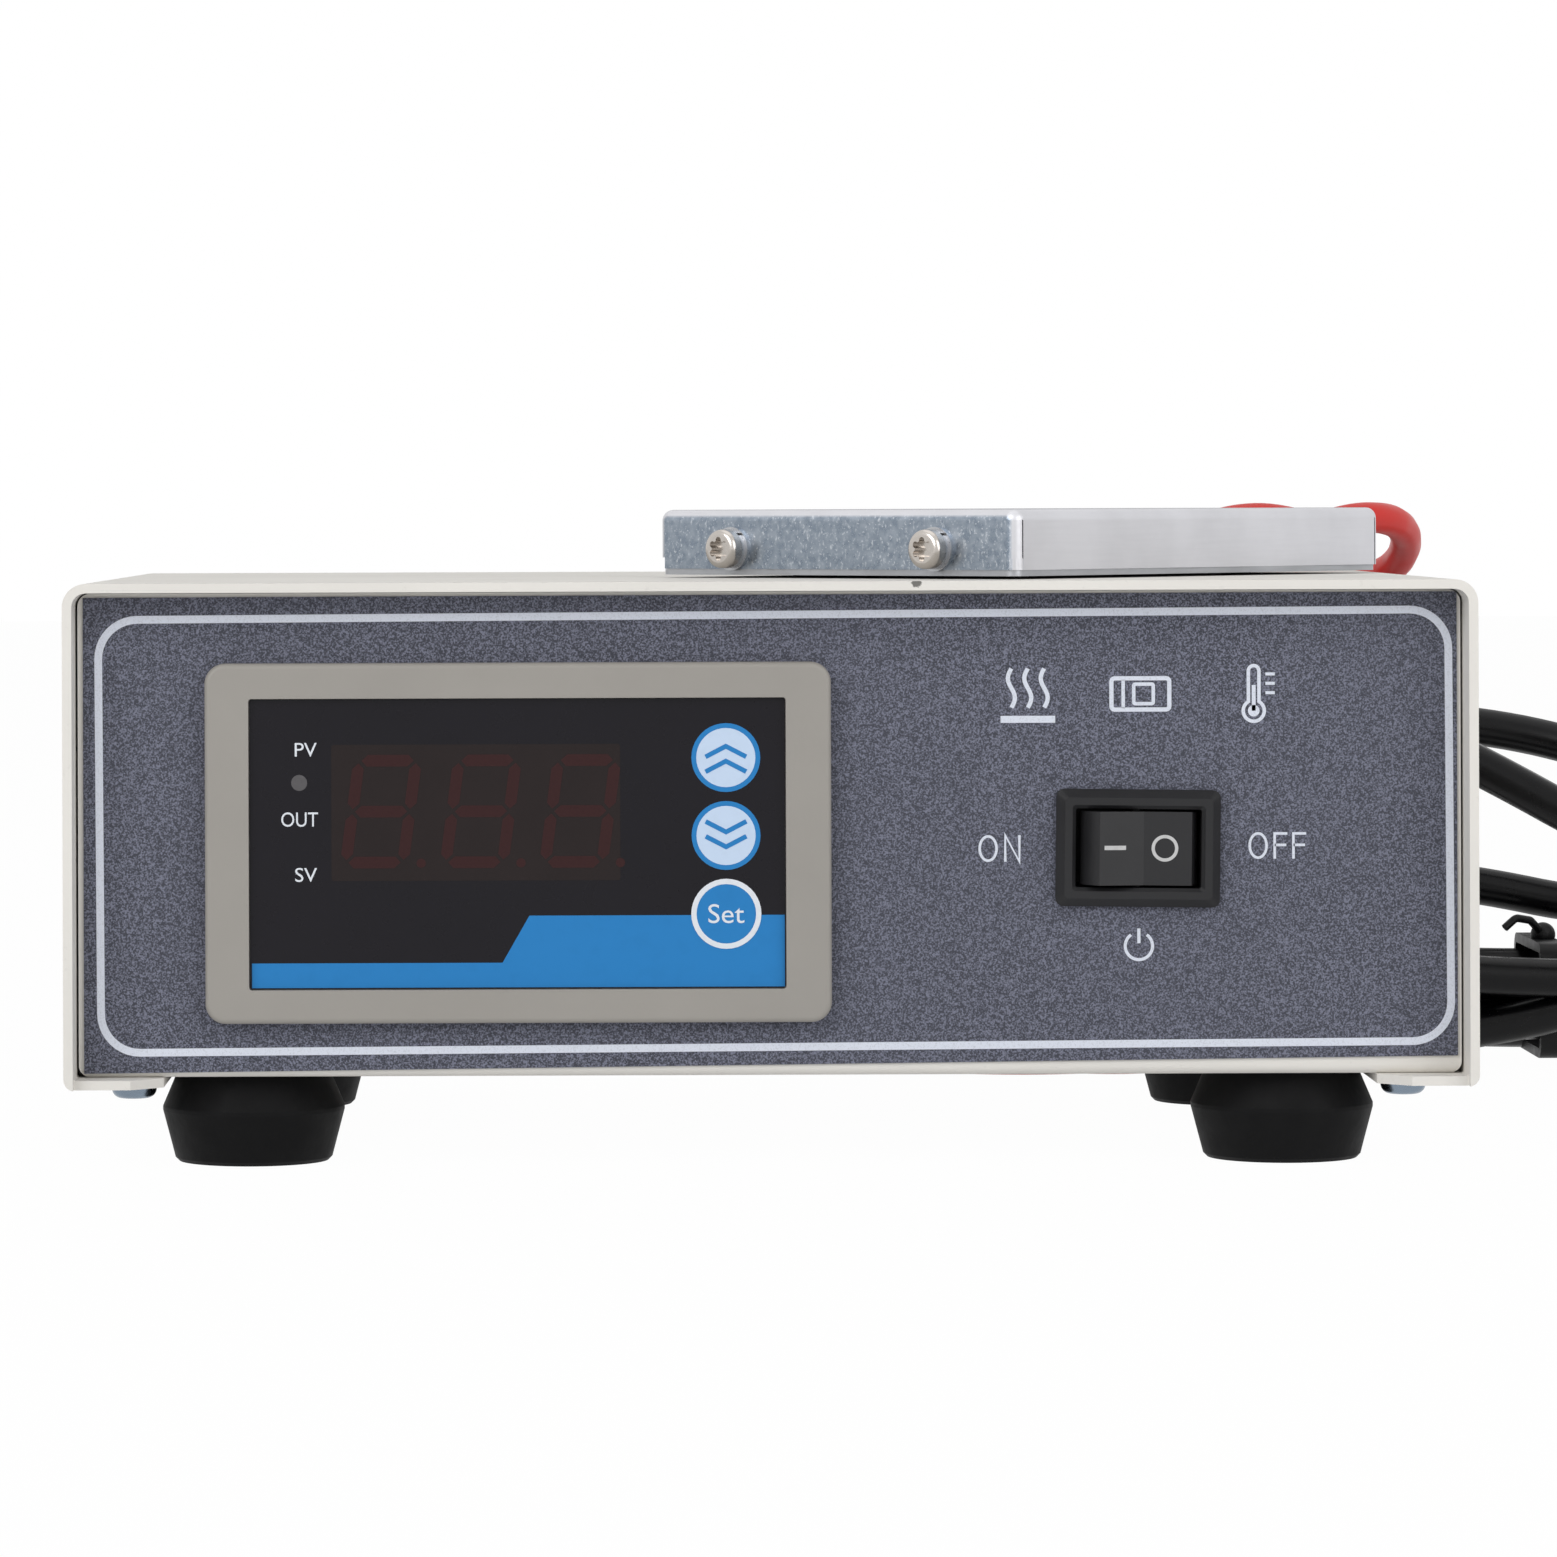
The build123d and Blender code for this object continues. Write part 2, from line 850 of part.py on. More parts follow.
def make_transformer_coil():
    """The taped winding round the middle limb."""
    base_z = floor_z + bracket_sheet + core_limb
    top_z = floor_z + bracket_sheet + core_height - core_limb
    reach = core_width / 2 - core_limb
    coil = block(
        core_x - reach,
        core_x + reach,
        core_y - coil_deep / 2,
        core_y + coil_deep / 2,
        base_z,
        top_z,
    )
    coil = fillet(coil.edges().filter_by(Axis.Z), coil_corner)
    limb = core_limb
    return coil - block(
        core_x - limb,
        core_x + limb,
        core_y - core_stack / 2,
        core_y + core_stack / 2,
        base_z - 1,
        top_z + 1,
    )


def make_transformer_bracket():
    """The strap over the core, with a foot at each end."""
    half = core_width / 2
    top_z = floor_z + bracket_sheet + core_height
    low_y, high_y = core_y - core_stack / 2, core_y + core_stack / 2
    strap = block(
        core_x - half - bracket_sheet,
        core_x + half + bracket_sheet,
        low_y,
        high_y,
        floor_z,
        top_z + bracket_sheet,
    )
    strap -= block(
        core_x - half, core_x + half, low_y - 1, high_y + 1, floor_z + bracket_sheet, top_z
    )
    reach = half + bracket_sheet + bracket_foot
    strap += block(
        core_x - reach, core_x + reach, low_y, high_y, floor_z, floor_z + bracket_sheet
    )
    for x, y in bracket_screw_places():
        strap -= rod_z(x, y, floor_z - 1, floor_z + bracket_sheet + 1, 1.7)
    return strap


def make_bracket_screws():
    screw = pan_screw(m3, screw_head, screw_head_high, bracket_sheet + 4.0)
    return group(
        [Pos(x, y, floor_z + bracket_sheet) * screw for x, y in bracket_screw_places()]
    )


def make_terminal_block():
    """A row of screw terminals on the floor."""
    low_x, high_x = block_x - block_long / 2, block_x + block_long / 2
    low_y, high_y = block_y - block_wide / 2, block_y + block_wide / 2
    body = block(low_x, high_x, low_y, high_y, floor_z, floor_z + block_high)
    body = chamfer(body.faces().sort_by(Axis.Z)[-1].edges().filter_by(Axis.X), 3.0)
    pitch = block_long / block_ways
    for way in range(block_ways):
        x = low_x + (way + 0.5) * pitch
        middle_z = floor_z + block_high * 0.45
        body -= rod_y(x, middle_z, low_y - 1, high_y + 1, 1.9)
        for side in (-1, 1):
            y = block_y + side * block_wide * 0.22
            body -= rod_z(x, y, floor_z + block_high - 3, floor_z + block_high + 1, 1.9)
    return body


def make_earth_stud():
    """The earthing screw in the floor, with its nut."""
    stud = rod_z(earth_x, earth_y, foot_height - 0.8, floor_z + 9.0, m4 / 2)
    stud += rod_z(earth_x, earth_y, foot_height - 2.2, foot_height, 3.6)
    return stud + Pos(earth_x, earth_y, floor_z) * hexagon_nut(7.0, 3.2, 1.0)


# Rear panel


def gland_neck(diameter):
    """The radius of the panel hole for a cord's gland."""
    return diameter / 2 + 3.0


def make_mains_gland():
    """A moulded boot that tapers along the mains cord, gripped in the panel."""
    cord = mains_diameter / 2
    neck = gland_neck(mains_diameter) - 0.1
    inner = chassis_sheet + 2.5
    profile = make_face(
        Polyline(
            (cord, -inner),
            (neck + 1.4, -inner),
            (neck + 1.4, -chassis_sheet),
            (neck, -chassis_sheet),
            (neck, 0),
            (neck + 3.0, 0),
            (neck + 3.0, 2.6),
            (neck + 0.2, 3.4),
            (cord + 1.5, boot_long),
            (cord, boot_long),
            (cord, -inner),
        )
    )
    boot = revolve(Plane.XZ * profile, Axis.Z)
    for step in range(5):
        height = 8.0 + 3.6 * step
        slot = Pos(0, 0, height) * (Cylinder(neck + 2, 1.3) - Cylinder(cord + 1.0, 1.3))
        boot -= slot
    return Pos(mains_gland_x, rear_panel_y, mains_gland_z) * Rot(-90, 0, 0) * boot


def make_lead_gland():
    """A nylon gland with a hexagon body and a domed cap round the stage lead."""
    cord = lead_diameter / 2
    neck = gland_neck(lead_diameter) - 0.1
    body = Pos(0, 0, -8.0) * Cylinder(neck, 8.0, align=(Align.CENTER, Align.CENTER, Align.MIN))
    body += extrude(RegularPolygon(neck + 2.4, 6, major_radius=False), 4.0)
    cap = Pos(0, 0, 4.0) * Cylinder(
        neck + 1.4, lead_gland_long - 4.0, align=(Align.CENTER, Align.CENTER, Align.MIN)
    )
    cap = fillet(cap.edges().group_by(Axis.Z)[-1], 3.0)
    body += cap
    nut = extrude(RegularPolygon(neck + 2.4, 6, major_radius=False), 3.0)
    body += Pos(0, 0, -chassis_sheet - 3.0) * nut
    body -= Cylinder(cord, 60)
    return Pos(lead_gland_x, rear_panel_y, lead_gland_z) * Rot(-90, 0, 0) * body


def make_fuse_holder():
    """A panel fuse holder's barrel and flange, with its tags inside."""
    flange = rod_y(fuse_x, fuse_z, rear_panel_y, rear_panel_y + fuse_flange_thick, fuse_flange)
    front = rear_panel_y + fuse_flange_thick
    barrel = rod_y(fuse_x, fuse_z, rear_panel_y - fuse_reach, front, fuse_barrel)
    bore = rod_y(fuse_x, fuse_z, rear_panel_y - fuse_reach + 4.0, front + 3.4, fuse_bore)
    tag_x = (fuse_x - 2.0, fuse_x + 2.0)
    tag = block(*tag_x, rear_panel_y - 38.0, rear_panel_y - 29.5, fuse_z - 0.4, fuse_z + 0.4)
    nut = Pos(fuse_x, rear_panel_y - chassis_sheet, fuse_z) * Rot(90, 0, 0)
    return flange + barrel - bore + tag + nut * hexagon_nut(15.0, 3.0, fuse_barrel - 0.1)


def make_fuse_cap():
    """The slotted cap that holds the fuse."""
    cap_y = rear_panel_y + fuse_flange_thick
    cap = rod_y(fuse_x, fuse_z, cap_y, cap_y + 3.6, fuse_barrel)
    cap = fillet(cap.edges().group_by(Axis.Y)[-1], 1.0)
    slot = block(
        fuse_x - 4.0,
        fuse_x + 4.0,
        rear_panel_y + 4.0,
        rear_panel_y + 6.0,
        fuse_z - 0.6,
        fuse_z + 0.6,
    )
    stem = rod_y(fuse_x, fuse_z, rear_panel_y - 22.0, cap_y, fuse_bore - 0.1)
    return cap - slot + stem


# Stage, modelled along its own length and then turned on the box's top


def stage_place():
    return Pos(stage_x, stage_y, 0) * Rot(0, 0, stage_turn)


def rod_x(y, z, x0, x1, radius):
    """A round bar along X."""
    return Pos((x0 + x1) / 2, y, z) * Rot(0, 90, 0) * Cylinder(radius, x1 - x0)


def stage_end_holes(x0, x1, side, margin):
    """The holes for the screws at one end, and for the bush at the far end."""
    cuts = []
    for end, y in stage_screw_places:
        if end == side:
            height = pan_bottom + stage_screw_height - base_sheet
            cuts.append(rod_x(y, height, x0, x1, m3 / 2 + margin))
    if side == 1:
        bush = lead_diameter / 2 + bush_wall + margin
        cuts.append(rod_x(bush_y, stage_bottom + bush_height, x0, x1, bush))
    return cuts


def make_stage_pan():
    """The folded aluminium pan, open below, with a seam beside each corner."""
    top_z = pan_bottom + pan_high
    half_x, half_y = stage_long / 2, stage_wide / 2
    pan = block(-half_x, half_x, -half_y, half_y, pan_bottom, top_z)
    pan = fillet(pan.edges().filter_by(Axis.Z), stage_bend)
    pan = fillet(pan.faces().sort_by(Axis.Z)[-1].edges(), stage_bend * 0.9)
    pan -= block(
        -half_x + stage_sheet,
        half_x - stage_sheet,
        -half_y + stage_sheet,
        half_y - stage_sheet,
        pan_bottom - 1,
        top_z - stage_sheet,
    )
    for side_x in (-1, 1):
        for hole in stage_end_holes(
            *sorted((side_x * (half_x - 3), side_x * (half_x + 1))), side_x, 0.15
        ):
            pan -= hole
        for side_y in (-1, 1):
            x = side_x * (half_x - stage_sheet - 0.4)
            reach = sorted((side_y * (half_y - stage_sheet - 0.5), side_y * (half_y + 1)))
            pan -= block(
                x - seam_width / 2,
                x + seam_width / 2,
                *reach,
                pan_bottom - 1,
                top_z - stage_sheet - 0.4,
            )
    cut = stage_corner_cut
    for side_y in (-1, 1):
        reach = sorted((side_y * (half_y - cut), side_y * (half_y + 1)))
        pan -= block(
            -half_x - 1, -half_x + cut, *reach, pan_bottom - 1, pan_bottom + cut
        )
    return stage_place() * pan


def make_stage_base():
    """The flat base with a tab turned up inside each end of the pan."""
    inset = 0.3
    half_x, half_y = stage_long / 2 - inset, stage_wide / 2 - inset
    base = block(-half_x, half_x, -half_y, half_y, stage_bottom, pan_bottom)
    base = fillet(base.edges().filter_by(Axis.Z), 1.5)
    tab_face = stage_long / 2 - stage_sheet - 0.05
    tab_half = stage_wide / 2 - stage_sheet - 2.0
    for side in (-1, 1):
        tab_x = sorted((side * tab_face, side * (tab_face - base_sheet)))
        base += block(*tab_x, -tab_half, tab_half, pan_bottom - 0.2, pan_bottom + tab_high)
        hole_x = sorted((side * (tab_face + 1), side * (tab_face - 3)))
        for hole in stage_end_holes(*hole_x, side, 0.05):
            base -= hole
    return stage_place() * base


def stage_inner_length():
    return stage_long - 2 * (stage_sheet + base_sheet + 0.3)


def make_heater_mat():
    """The silicone heater under the pan's top."""
    top_z = pan_bottom + pan_high - stage_sheet
    half_y = stage_wide / 2 - stage_sheet - mat_margin
    half_x = stage_inner_length() / 2 - 1.0
    mat = block(-half_x, half_x, -half_y, half_y, top_z - mat_thick, top_z)
    return stage_place() * fillet(mat.edges().filter_by(Axis.Z), mat_corner)


def make_insulation_board():
    """The board that fills the pan below the heater, with room for the screws and the sensor."""
    top_z = pan_bottom + pan_high - stage_sheet - mat_thick
    half_y = stage_wide / 2 - stage_sheet - 0.3
    half_x = stage_inner_length() / 2
    board = block(-half_x, half_x, -half_y, half_y, pan_bottom, top_z)
    for side in (-1, 1):
        hole_x = sorted((side * (half_x + 1), side * (half_x - 9)))
        for hole in stage_end_holes(*hole_x, side, 0.5):
            board -= hole
    groove = sensor_radius + 0.1
    board -= rod_x(0, top_z - sensor_radius, -groove, sensor_long + 1, groove)
    board -= block(-groove, sensor_long + 1, -groove, groove, top_z - sensor_radius, top_z + 1)
    return stage_place() * board


def make_temperature_sensor():
    top_z = pan_bottom + pan_high - stage_sheet - mat_thick
    probe = rod_x(0, top_z - sensor_radius, 0, sensor_long, sensor_radius)
    return stage_place() * fillet(probe.edges().group_by(Axis.X)[0], 1.0)


def make_stage_screws():
    """Pan-head screws with a six-lobe recess, two in each end."""
    screws = []
    height = pan_bottom + stage_screw_height - base_sheet
    head = Pos(0, 0, stage_head_high / 2) * Cylinder(stage_head / 2, stage_head_high)
    head = fillet(head.edges().group_by(Axis.Z)[-1], stage_head_high * 0.4)
    lobes = Circle(recess_radius * 0.78)
    for step in range(6):
        lobe = Rot(0, 0, 60 * step) * Pos(recess_radius * 0.8, 0)
        lobes += lobe * Circle(recess_radius * 0.3)
    head -= Pos(0, 0, stage_head_high - recess_deep) * extrude(lobes, 2 * recess_deep)
    screw = head + Pos(0, 0, -stage_screw_long / 2) * Cylinder(m3 / 2, stage_screw_long)
    for side, y in stage_screw_places:
        seat = side * (stage_long / 2 + washer_thick + lock_washer_thick)
        screws.append(stage_place() * Pos(seat, y, height) * Rot(0, side * 90, 0) * screw)
    return group(screws)


def make_stage_washers():
    """A flat washer and a split lock washer under each screw's head."""
    washers = []
    height = pan_bottom + stage_screw_height - base_sheet
    bore = m3 / 2 + 0.1
    for side, y in stage_screw_places:
        face = stage_long / 2
        flat_end = face + washer_thick
        lock_end = flat_end + lock_washer_thick
        flat = sorted((side * face, side * flat_end))
        lock = sorted((side * flat_end, side * lock_end))
        through = (flat[0] - 2, flat[1] + 2)
        washers.append(
            rod_x(y, height, *flat, washer_radius) - rod_x(y, height, *through, bore)
        )
        split = block(*through, y - lock_washer_gap / 2, y + lock_washer_gap / 2, height, 99)
        ring = rod_x(y, height, *lock, lock_washer_radius) - rod_x(y, height, *through, bore)
        washers.append(ring - Pos(0, y, height) * Rot(40, 0, 0) * Pos(0, -y, -height) * split)
    return group([stage_place() * washer for washer in washers])


def make_lead_bush():
    """The rubber bush that the lead leaves the stage through."""
    height = stage_bottom + bush_height
    face = stage_long / 2
    inner = face - stage_sheet - base_sheet - bush_wall
    barrel = lead_diameter / 2 + bush_wall
    bush = rod_x(bush_y, height, inner, face, barrel)
    collar = rod_x(bush_y, height, face, face + bush_proud, barrel + bush_flange)
    collar = fillet(collar.edges().group_by(Axis.X)[-1], 0.6)
    bore = rod_x(bush_y, height, inner - 1, face + bush_proud + 1, lead_diameter / 2)
    return stage_place() * (bush + collar - bore)


def make_stage_pads():
    """Four thin rubber pads that keep the stage off the paint."""
    return group(
        [
            stage_place() * rod_z(x, y, cover_top, stage_bottom, pad_radius)
            for x in (-pad_x, pad_x)
            for y in (-pad_y, pad_y)
        ]
    )


# Cords


def corner_radii(points):
    """An arc for each corner of a route, as large as its two runs allow."""
    radii = []
    for before, here, after in zip(points, points[1:], points[2:]):
        run_in = Vector(*here) - Vector(*before)
        run_out = Vector(*after) - Vector(*here)
        half_turn = math.radians(run_in.get_angle(run_out)) / 2
        shorter = min(run_in.length, run_out.length)
        radii.append(0.45 * shorter / math.tan(half_turn))
    return radii


def make_tube(name, points, diameter):
    """A cord's tube of straight runs and tangent arcs; prints its radii, length and volume ratio."""
    radii = corner_radii(points)
    path = FilletPolyline(*points, radius=radii)
    start = Plane(origin=path @ 0, z_dir=path % 0)
    tube = sweep(start * Circle(diameter / 2), path)
    ratio = solid_volume(tube) / (math.pi * diameter**2 / 4 * path.length)
    runs = [(Vector(*b) - Vector(*a)).length for a, b in zip(points, points[1:])]
    print(name, "length", round(path.length, 1), "volume ratio", round(ratio, 4))
    print("  radii", [round(radius, 1) for radius in radii])
    print("  runs", [round(run, 1) for run in runs])
    return tube


def make_lead_coil():
    """The outer shape of the lead's coil, one closed ring on the bench."""
    section = Pos(lead_coil_radius, lead_coil_thick / 2) * RectangleRounded(
        lead_coil_thick, lead_coil_thick, lead_diameter / 2
    )
    ring = revolve(Plane.XZ * section, Axis.Z)
    return Pos(lead_coil_x, lead_coil_y, 0) * ring


def hank_waist_x():
    return hank_half_long - hank_end_radius


def make_hank():
    """The outer shape of the mains cord's hank: two round ends pinched at the tie."""
    plan = Rectangle(2 * hank_waist_x(), 2 * hank_waist)
    for side in (-1, 1):
        plan += Pos(side * hank_waist_x(), 0) * Circle(hank_end_radius)
    inner_corners = [
        corner
        for corner in plan.vertices()
        if abs(abs(corner.Y) - hank_waist) < 0.5 and abs(corner.X) < hank_half_long
    ]
    plan = fillet(inner_corners, hank_waist_bend)
    hank = extrude(plan, hank_high)
    hank = chamfer(hank.faces().sort_by(Axis.Z)[-1].edges(), hank_edge)
    hank = chamfer(hank.faces().sort_by(Axis.Z)[0].edges(), hank_edge / 2)
    groove = tie_width / 2 + tie_clearance
    hank -= block(-groove, groove, -60, 60, -1, tie_thick + tie_clearance)
    return Pos(hank_x, hank_y, 0) * hank


def make_hank_tie():
    """The tie round the hank's waist, with its twisted tail."""
    half_y = hank_waist + tie_clearance
    top_z = hank_high + tie_clearance
    ring = plate_yz(half_y + tie_thick, 0.0, top_z + tie_thick, 2.6)
    ring -= plate_yz(half_y, tie_thick, top_z, 1.2)
    knot_z = top_z + tie_thick - 0.3
    knot = Pos(0, -3.0, knot_z + tie_knot / 2) * Sphere(tie_knot)
    tail = make_tie_tail([(x, y, knot_z + z) for x, y, z in tie_tail])
    place = Pos(hank_x, hank_y, 0)
    return place * (ring + (knot - block(-9, 9, -9, 9, 0, knot_z - 0.2)) + tail)


def plate_yz(half_y, low_z, high_z, corner):
    outline = RectangleRounded(2 * half_y, high_z - low_z, corner)
    place = Pos(-tie_width / 2, 0, (low_z + high_z) / 2)
    return place * extrude(Plane.YZ * outline, tie_width)


def make_tie_tail(points):
    path = FilletPolyline(*points, radius=1.2)
    start = Plane(origin=path @ 0, z_dir=path % 0)
    return sweep(start * Circle(tie_wire / 2), path)


def plug_place():
    """The plug's own frame: its cord end at the origin, its pins towards +X."""
    before, end = mains_end_route[-2:]
    turn = math.degrees(math.atan2(end[1] - before[1], end[0] - before[0]))
    return Pos(*end) * Rot(0, 0, turn)


def plug_section(x, width, height, corner):
    """One section across the plug, at x along it."""
    return Pos(x, 0, 0) * (Plane.YZ * RectangleRounded(width, height, corner))


def make_plug():
    """A moulded plug: a boot round the cord that swells into a flat body."""
    collar = mains_diameter + 2.4
    shoulder_x = plug_boot + plug_shoulder
    tip = plug_section(0, collar, collar, collar * 0.45)
    throat = plug_section(plug_boot, *plug_throat)
    shoulder = plug_section(shoulder_x, plug_wide, plug_high, plug_corner)
    head = extrude(shoulder, plug_long - plug_shoulder, dir=(1, 0, 0))
    head = chamfer(head.faces().sort_by(Axis.X)[-1].edges(), plug_face_edge)
    return plug_place() * (loft([tip, throat]) + loft([throat, shoulder]) + head)


def make_plug_pins():
    """Two slanted live blades and one upright earth blade."""
    face_x = plug_boot + plug_long
    blades = []
    for y, z, turn in ((-pin_spread, 2.0, 30), (pin_spread, 2.0, -30), (0, -4.5, 90)):
        outline = RectangleRounded(pin_wide, pin_thick, 0.5)
        blade = extrude(outline, pin_long)
        place = Pos(face_x, y, z) * Rot(turn, 0, 0) * Rot(0, 90, 0)
        blades.append(plug_place() * place * blade)
    return group(blades)


nodes["cover"] = make_cover()
nodes["chassis"] = make_chassis()
nodes["front_label"] = make_label()
foot_names = ("front_left", "front_right", "rear_left", "rear_right")
for foot_name, (foot_at_x, foot_at_y) in zip(foot_names, feet_places):
    nodes["foot_" + foot_name] = make_foot(foot_at_x, foot_at_y)
nodes["cover_screws"] = make_cover_screws()
nodes["foot_screws"] = make_foot_screws()
nodes["foot_nuts"] = make_foot_nuts()
nodes["controller_bezel"] = make_bezel()
nodes["controller_film"] = make_film()
nodes["controller_case"] = make_case()
nodes["display_board"] = make_board()
nodes["display_module"] = make_display()
nodes["indicator_lamp"] = make_lamp()
for key, key_height in key_z.items():
    nodes["key_switch_" + key] = make_key_body(key_height)
    nodes["key_plunger_" + key] = make_key_plunger(key_height)
nodes["panel_clip_left"] = make_clip(-1)
nodes["panel_clip_right"] = make_clip(1)
nodes["terminal_strip"] = make_terminal_strip()
nodes["switch_frame"] = switch_place() * make_switch_frame()
nodes["rocker"] = switch_place() * make_rocker()
nodes["switch_terminals"] = make_switch_terminals()
nodes["transformer_core"] = make_transformer_core()
nodes["transformer_coil"] = make_transformer_coil()
nodes["transformer_bracket"] = make_transformer_bracket()
nodes["bracket_screws"] = make_bracket_screws()
nodes["terminal_block"] = make_terminal_block()
nodes["earth_stud"] = make_earth_stud()
nodes["fuse_holder"] = make_fuse_holder()
nodes["fuse_cap"] = make_fuse_cap()
nodes["mains_gland"] = make_mains_gland()
nodes["lead_gland"] = make_lead_gland()
nodes["stage_pan"] = make_stage_pan()
nodes["stage_base"] = make_stage_base()
nodes["heater_mat"] = make_heater_mat()
nodes["insulation_board"] = make_insulation_board()
nodes["temperature_sensor"] = make_temperature_sensor()
nodes["stage_screws"] = make_stage_screws()
nodes["stage_washers"] = make_stage_washers()
nodes["lead_bush"] = make_lead_bush()
nodes["stage_pads"] = make_stage_pads()
nodes["stage_lead"] = make_tube("stage_lead", lead_route, lead_diameter)
nodes["stage_lead_coil"] = make_lead_coil()
nodes["stage_lead_tail"] = make_tube("stage_lead_tail", lead_tail_route, lead_diameter)
nodes["mains_cord"] = make_tube("mains_cord", mains_route, mains_diameter)
nodes["mains_hank"] = make_hank()
nodes["mains_cord_end"] = make_tube("mains_cord_end", mains_end_route, mains_diameter)
nodes["hank_tie"] = make_hank_tie()
nodes["mains_plug"] = make_plug()
nodes["plug_pins"] = make_plug_pins()

for name, shape in nodes.items():
    export_step(shape, f"parts/{name}.step")
print(len(nodes), "nodes")
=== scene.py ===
"""Looks for a bench slide warmer: finishes, prints, heated stage, cords and a plain studio."""

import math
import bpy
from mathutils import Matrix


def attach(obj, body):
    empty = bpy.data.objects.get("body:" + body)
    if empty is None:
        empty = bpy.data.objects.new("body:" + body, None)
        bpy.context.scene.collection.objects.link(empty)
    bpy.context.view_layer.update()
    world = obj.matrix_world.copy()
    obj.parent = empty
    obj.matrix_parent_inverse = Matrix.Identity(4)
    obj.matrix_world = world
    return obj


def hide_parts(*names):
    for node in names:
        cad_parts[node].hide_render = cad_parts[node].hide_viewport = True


bl_info = {
    "name": "Slide Warmer",
    "version": (1, 0, 0),
    "blender": (4, 5, 0),
    "location": "View3D > Sidebar > Slide Warmer",
    "description": "Dresses the packed slide warmer with its finishes, prints, cords and studio",
    "category": "Object",
}

import bpy
from mathutils import Matrix, Vector

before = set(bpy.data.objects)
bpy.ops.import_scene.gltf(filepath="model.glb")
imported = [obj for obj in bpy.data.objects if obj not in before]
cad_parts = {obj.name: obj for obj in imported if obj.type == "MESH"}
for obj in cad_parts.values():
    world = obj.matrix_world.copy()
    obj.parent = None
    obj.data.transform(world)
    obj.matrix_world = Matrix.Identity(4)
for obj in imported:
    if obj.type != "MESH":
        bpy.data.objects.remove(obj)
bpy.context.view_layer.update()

MM = 0.001
BODY = "box"

# Places taken from the part, in millimetres
FRONT_EDGE_Y = -65.0
LABEL_Y = -58.9
FILM_Y = -60.5
KEY_X = -5.6
KEY_Z = {"up": 52.6, "down": 42.65, "set": 32.65}
SWITCH_X, SWITCH_Z = 47.1, 40.8
SWITCH_TURN = 0.8
SWITCH_PIVOT_Y = -56.4
ROCKER_SWING = 10.0
ROCKER_VALLEY = 3.85
STAGE_X, STAGE_Y, STAGE_TURN = 36.55, 0.9, 50.0
PAN_END_X, PAN_SIDE_Y, PAN_BEND = -42.5, -30.0, 1.6
PRINT_LIFT = 0.03
CHIP_PLACE = (18.6, -65.0, 74.9)
LEAD_DIAMETER = 4.6
MAINS_DIAMETER = 6.0

# Prints on the label and the film, in millimetres
WORD_LINE = 0.34
ON_Z, OFF_Z = 40.78, 41.05
BORDER_LONG, BORDER_HIGH, BORDER_RADIUS = 172.7, 55.3, 5.0
BORDER_CORNERS = ((-85.6, 15.0), (87.15, 15.98), (86.9, 71.2), (-85.85, 70.4))
BAND_LOW = [(-66.2, 23.35), (-34.2, 23.35), (-34.2, 26.5), (-66.2, 26.5)]
BAND_HIGH = [(-34.2, 23.35), (1.85, 23.35), (1.85, 32.5), (-30.75, 32.5), (-34.2, 26.5)]
DISPLAY_X, DISPLAY_Z, DISPLAY_WIDE, DISPLAY_HIGH = -37.55, 45.7, 36.9, 17.4
DIGIT_PLACES, DIGIT_Z = (-49.65, -36.9, -24.2), 45.85
LAMP_X, LAMP_Z, LAMP_RADIUS = -60.1, 49.55, 1.02
KEY_RING_RADIUS, KEY_FACE_RADIUS = 4.4, 3.78
SET_FACE_RADIUS, SET_RING_RADIUS, SET_RING_LINE = 4.3, 4.14, 0.68

# Routes of the cords' splines, in millimetres, from each exit on

LEAD_ROUTE = [
    (49.83, 47.85, 79.6),
    (56.0, 55.2, 80.5),
    (65.4, 60.3, 81.0),
    (74.6, 62.9, 83.1),
    (83.4, 65.0, 81.1),
    (90.6, 68.4, 82.9),
    (96.6, 74.2, 82.2),
    (99.3, 83.6, 78.9),
    (98.0, 92.8, 74.6),
    (91.0, 98.6, 72.2),
    (82.0, 100.0, 70.6),
    (70.0, 97.6, 68.4),
    (61.2, 94.6, 64.6),
    (53.3, 91.4, 58.4),
    (46.9, 88.8, 50.6),
    (42.6, 86.4, 41.8),
    (40.6, 83.6, 32.4),
    (40.8, 80.4, 22.8),
    (43.6, 77.6, 13.8),
]
LEAD_TAIL_ROUTE = [
    (18.9, 94.5, 13.0),
    (17.5, 87.5, 20.0),
    (16.0, 79.0, 25.0),
    (16.0, 70.6, 25.0),
]
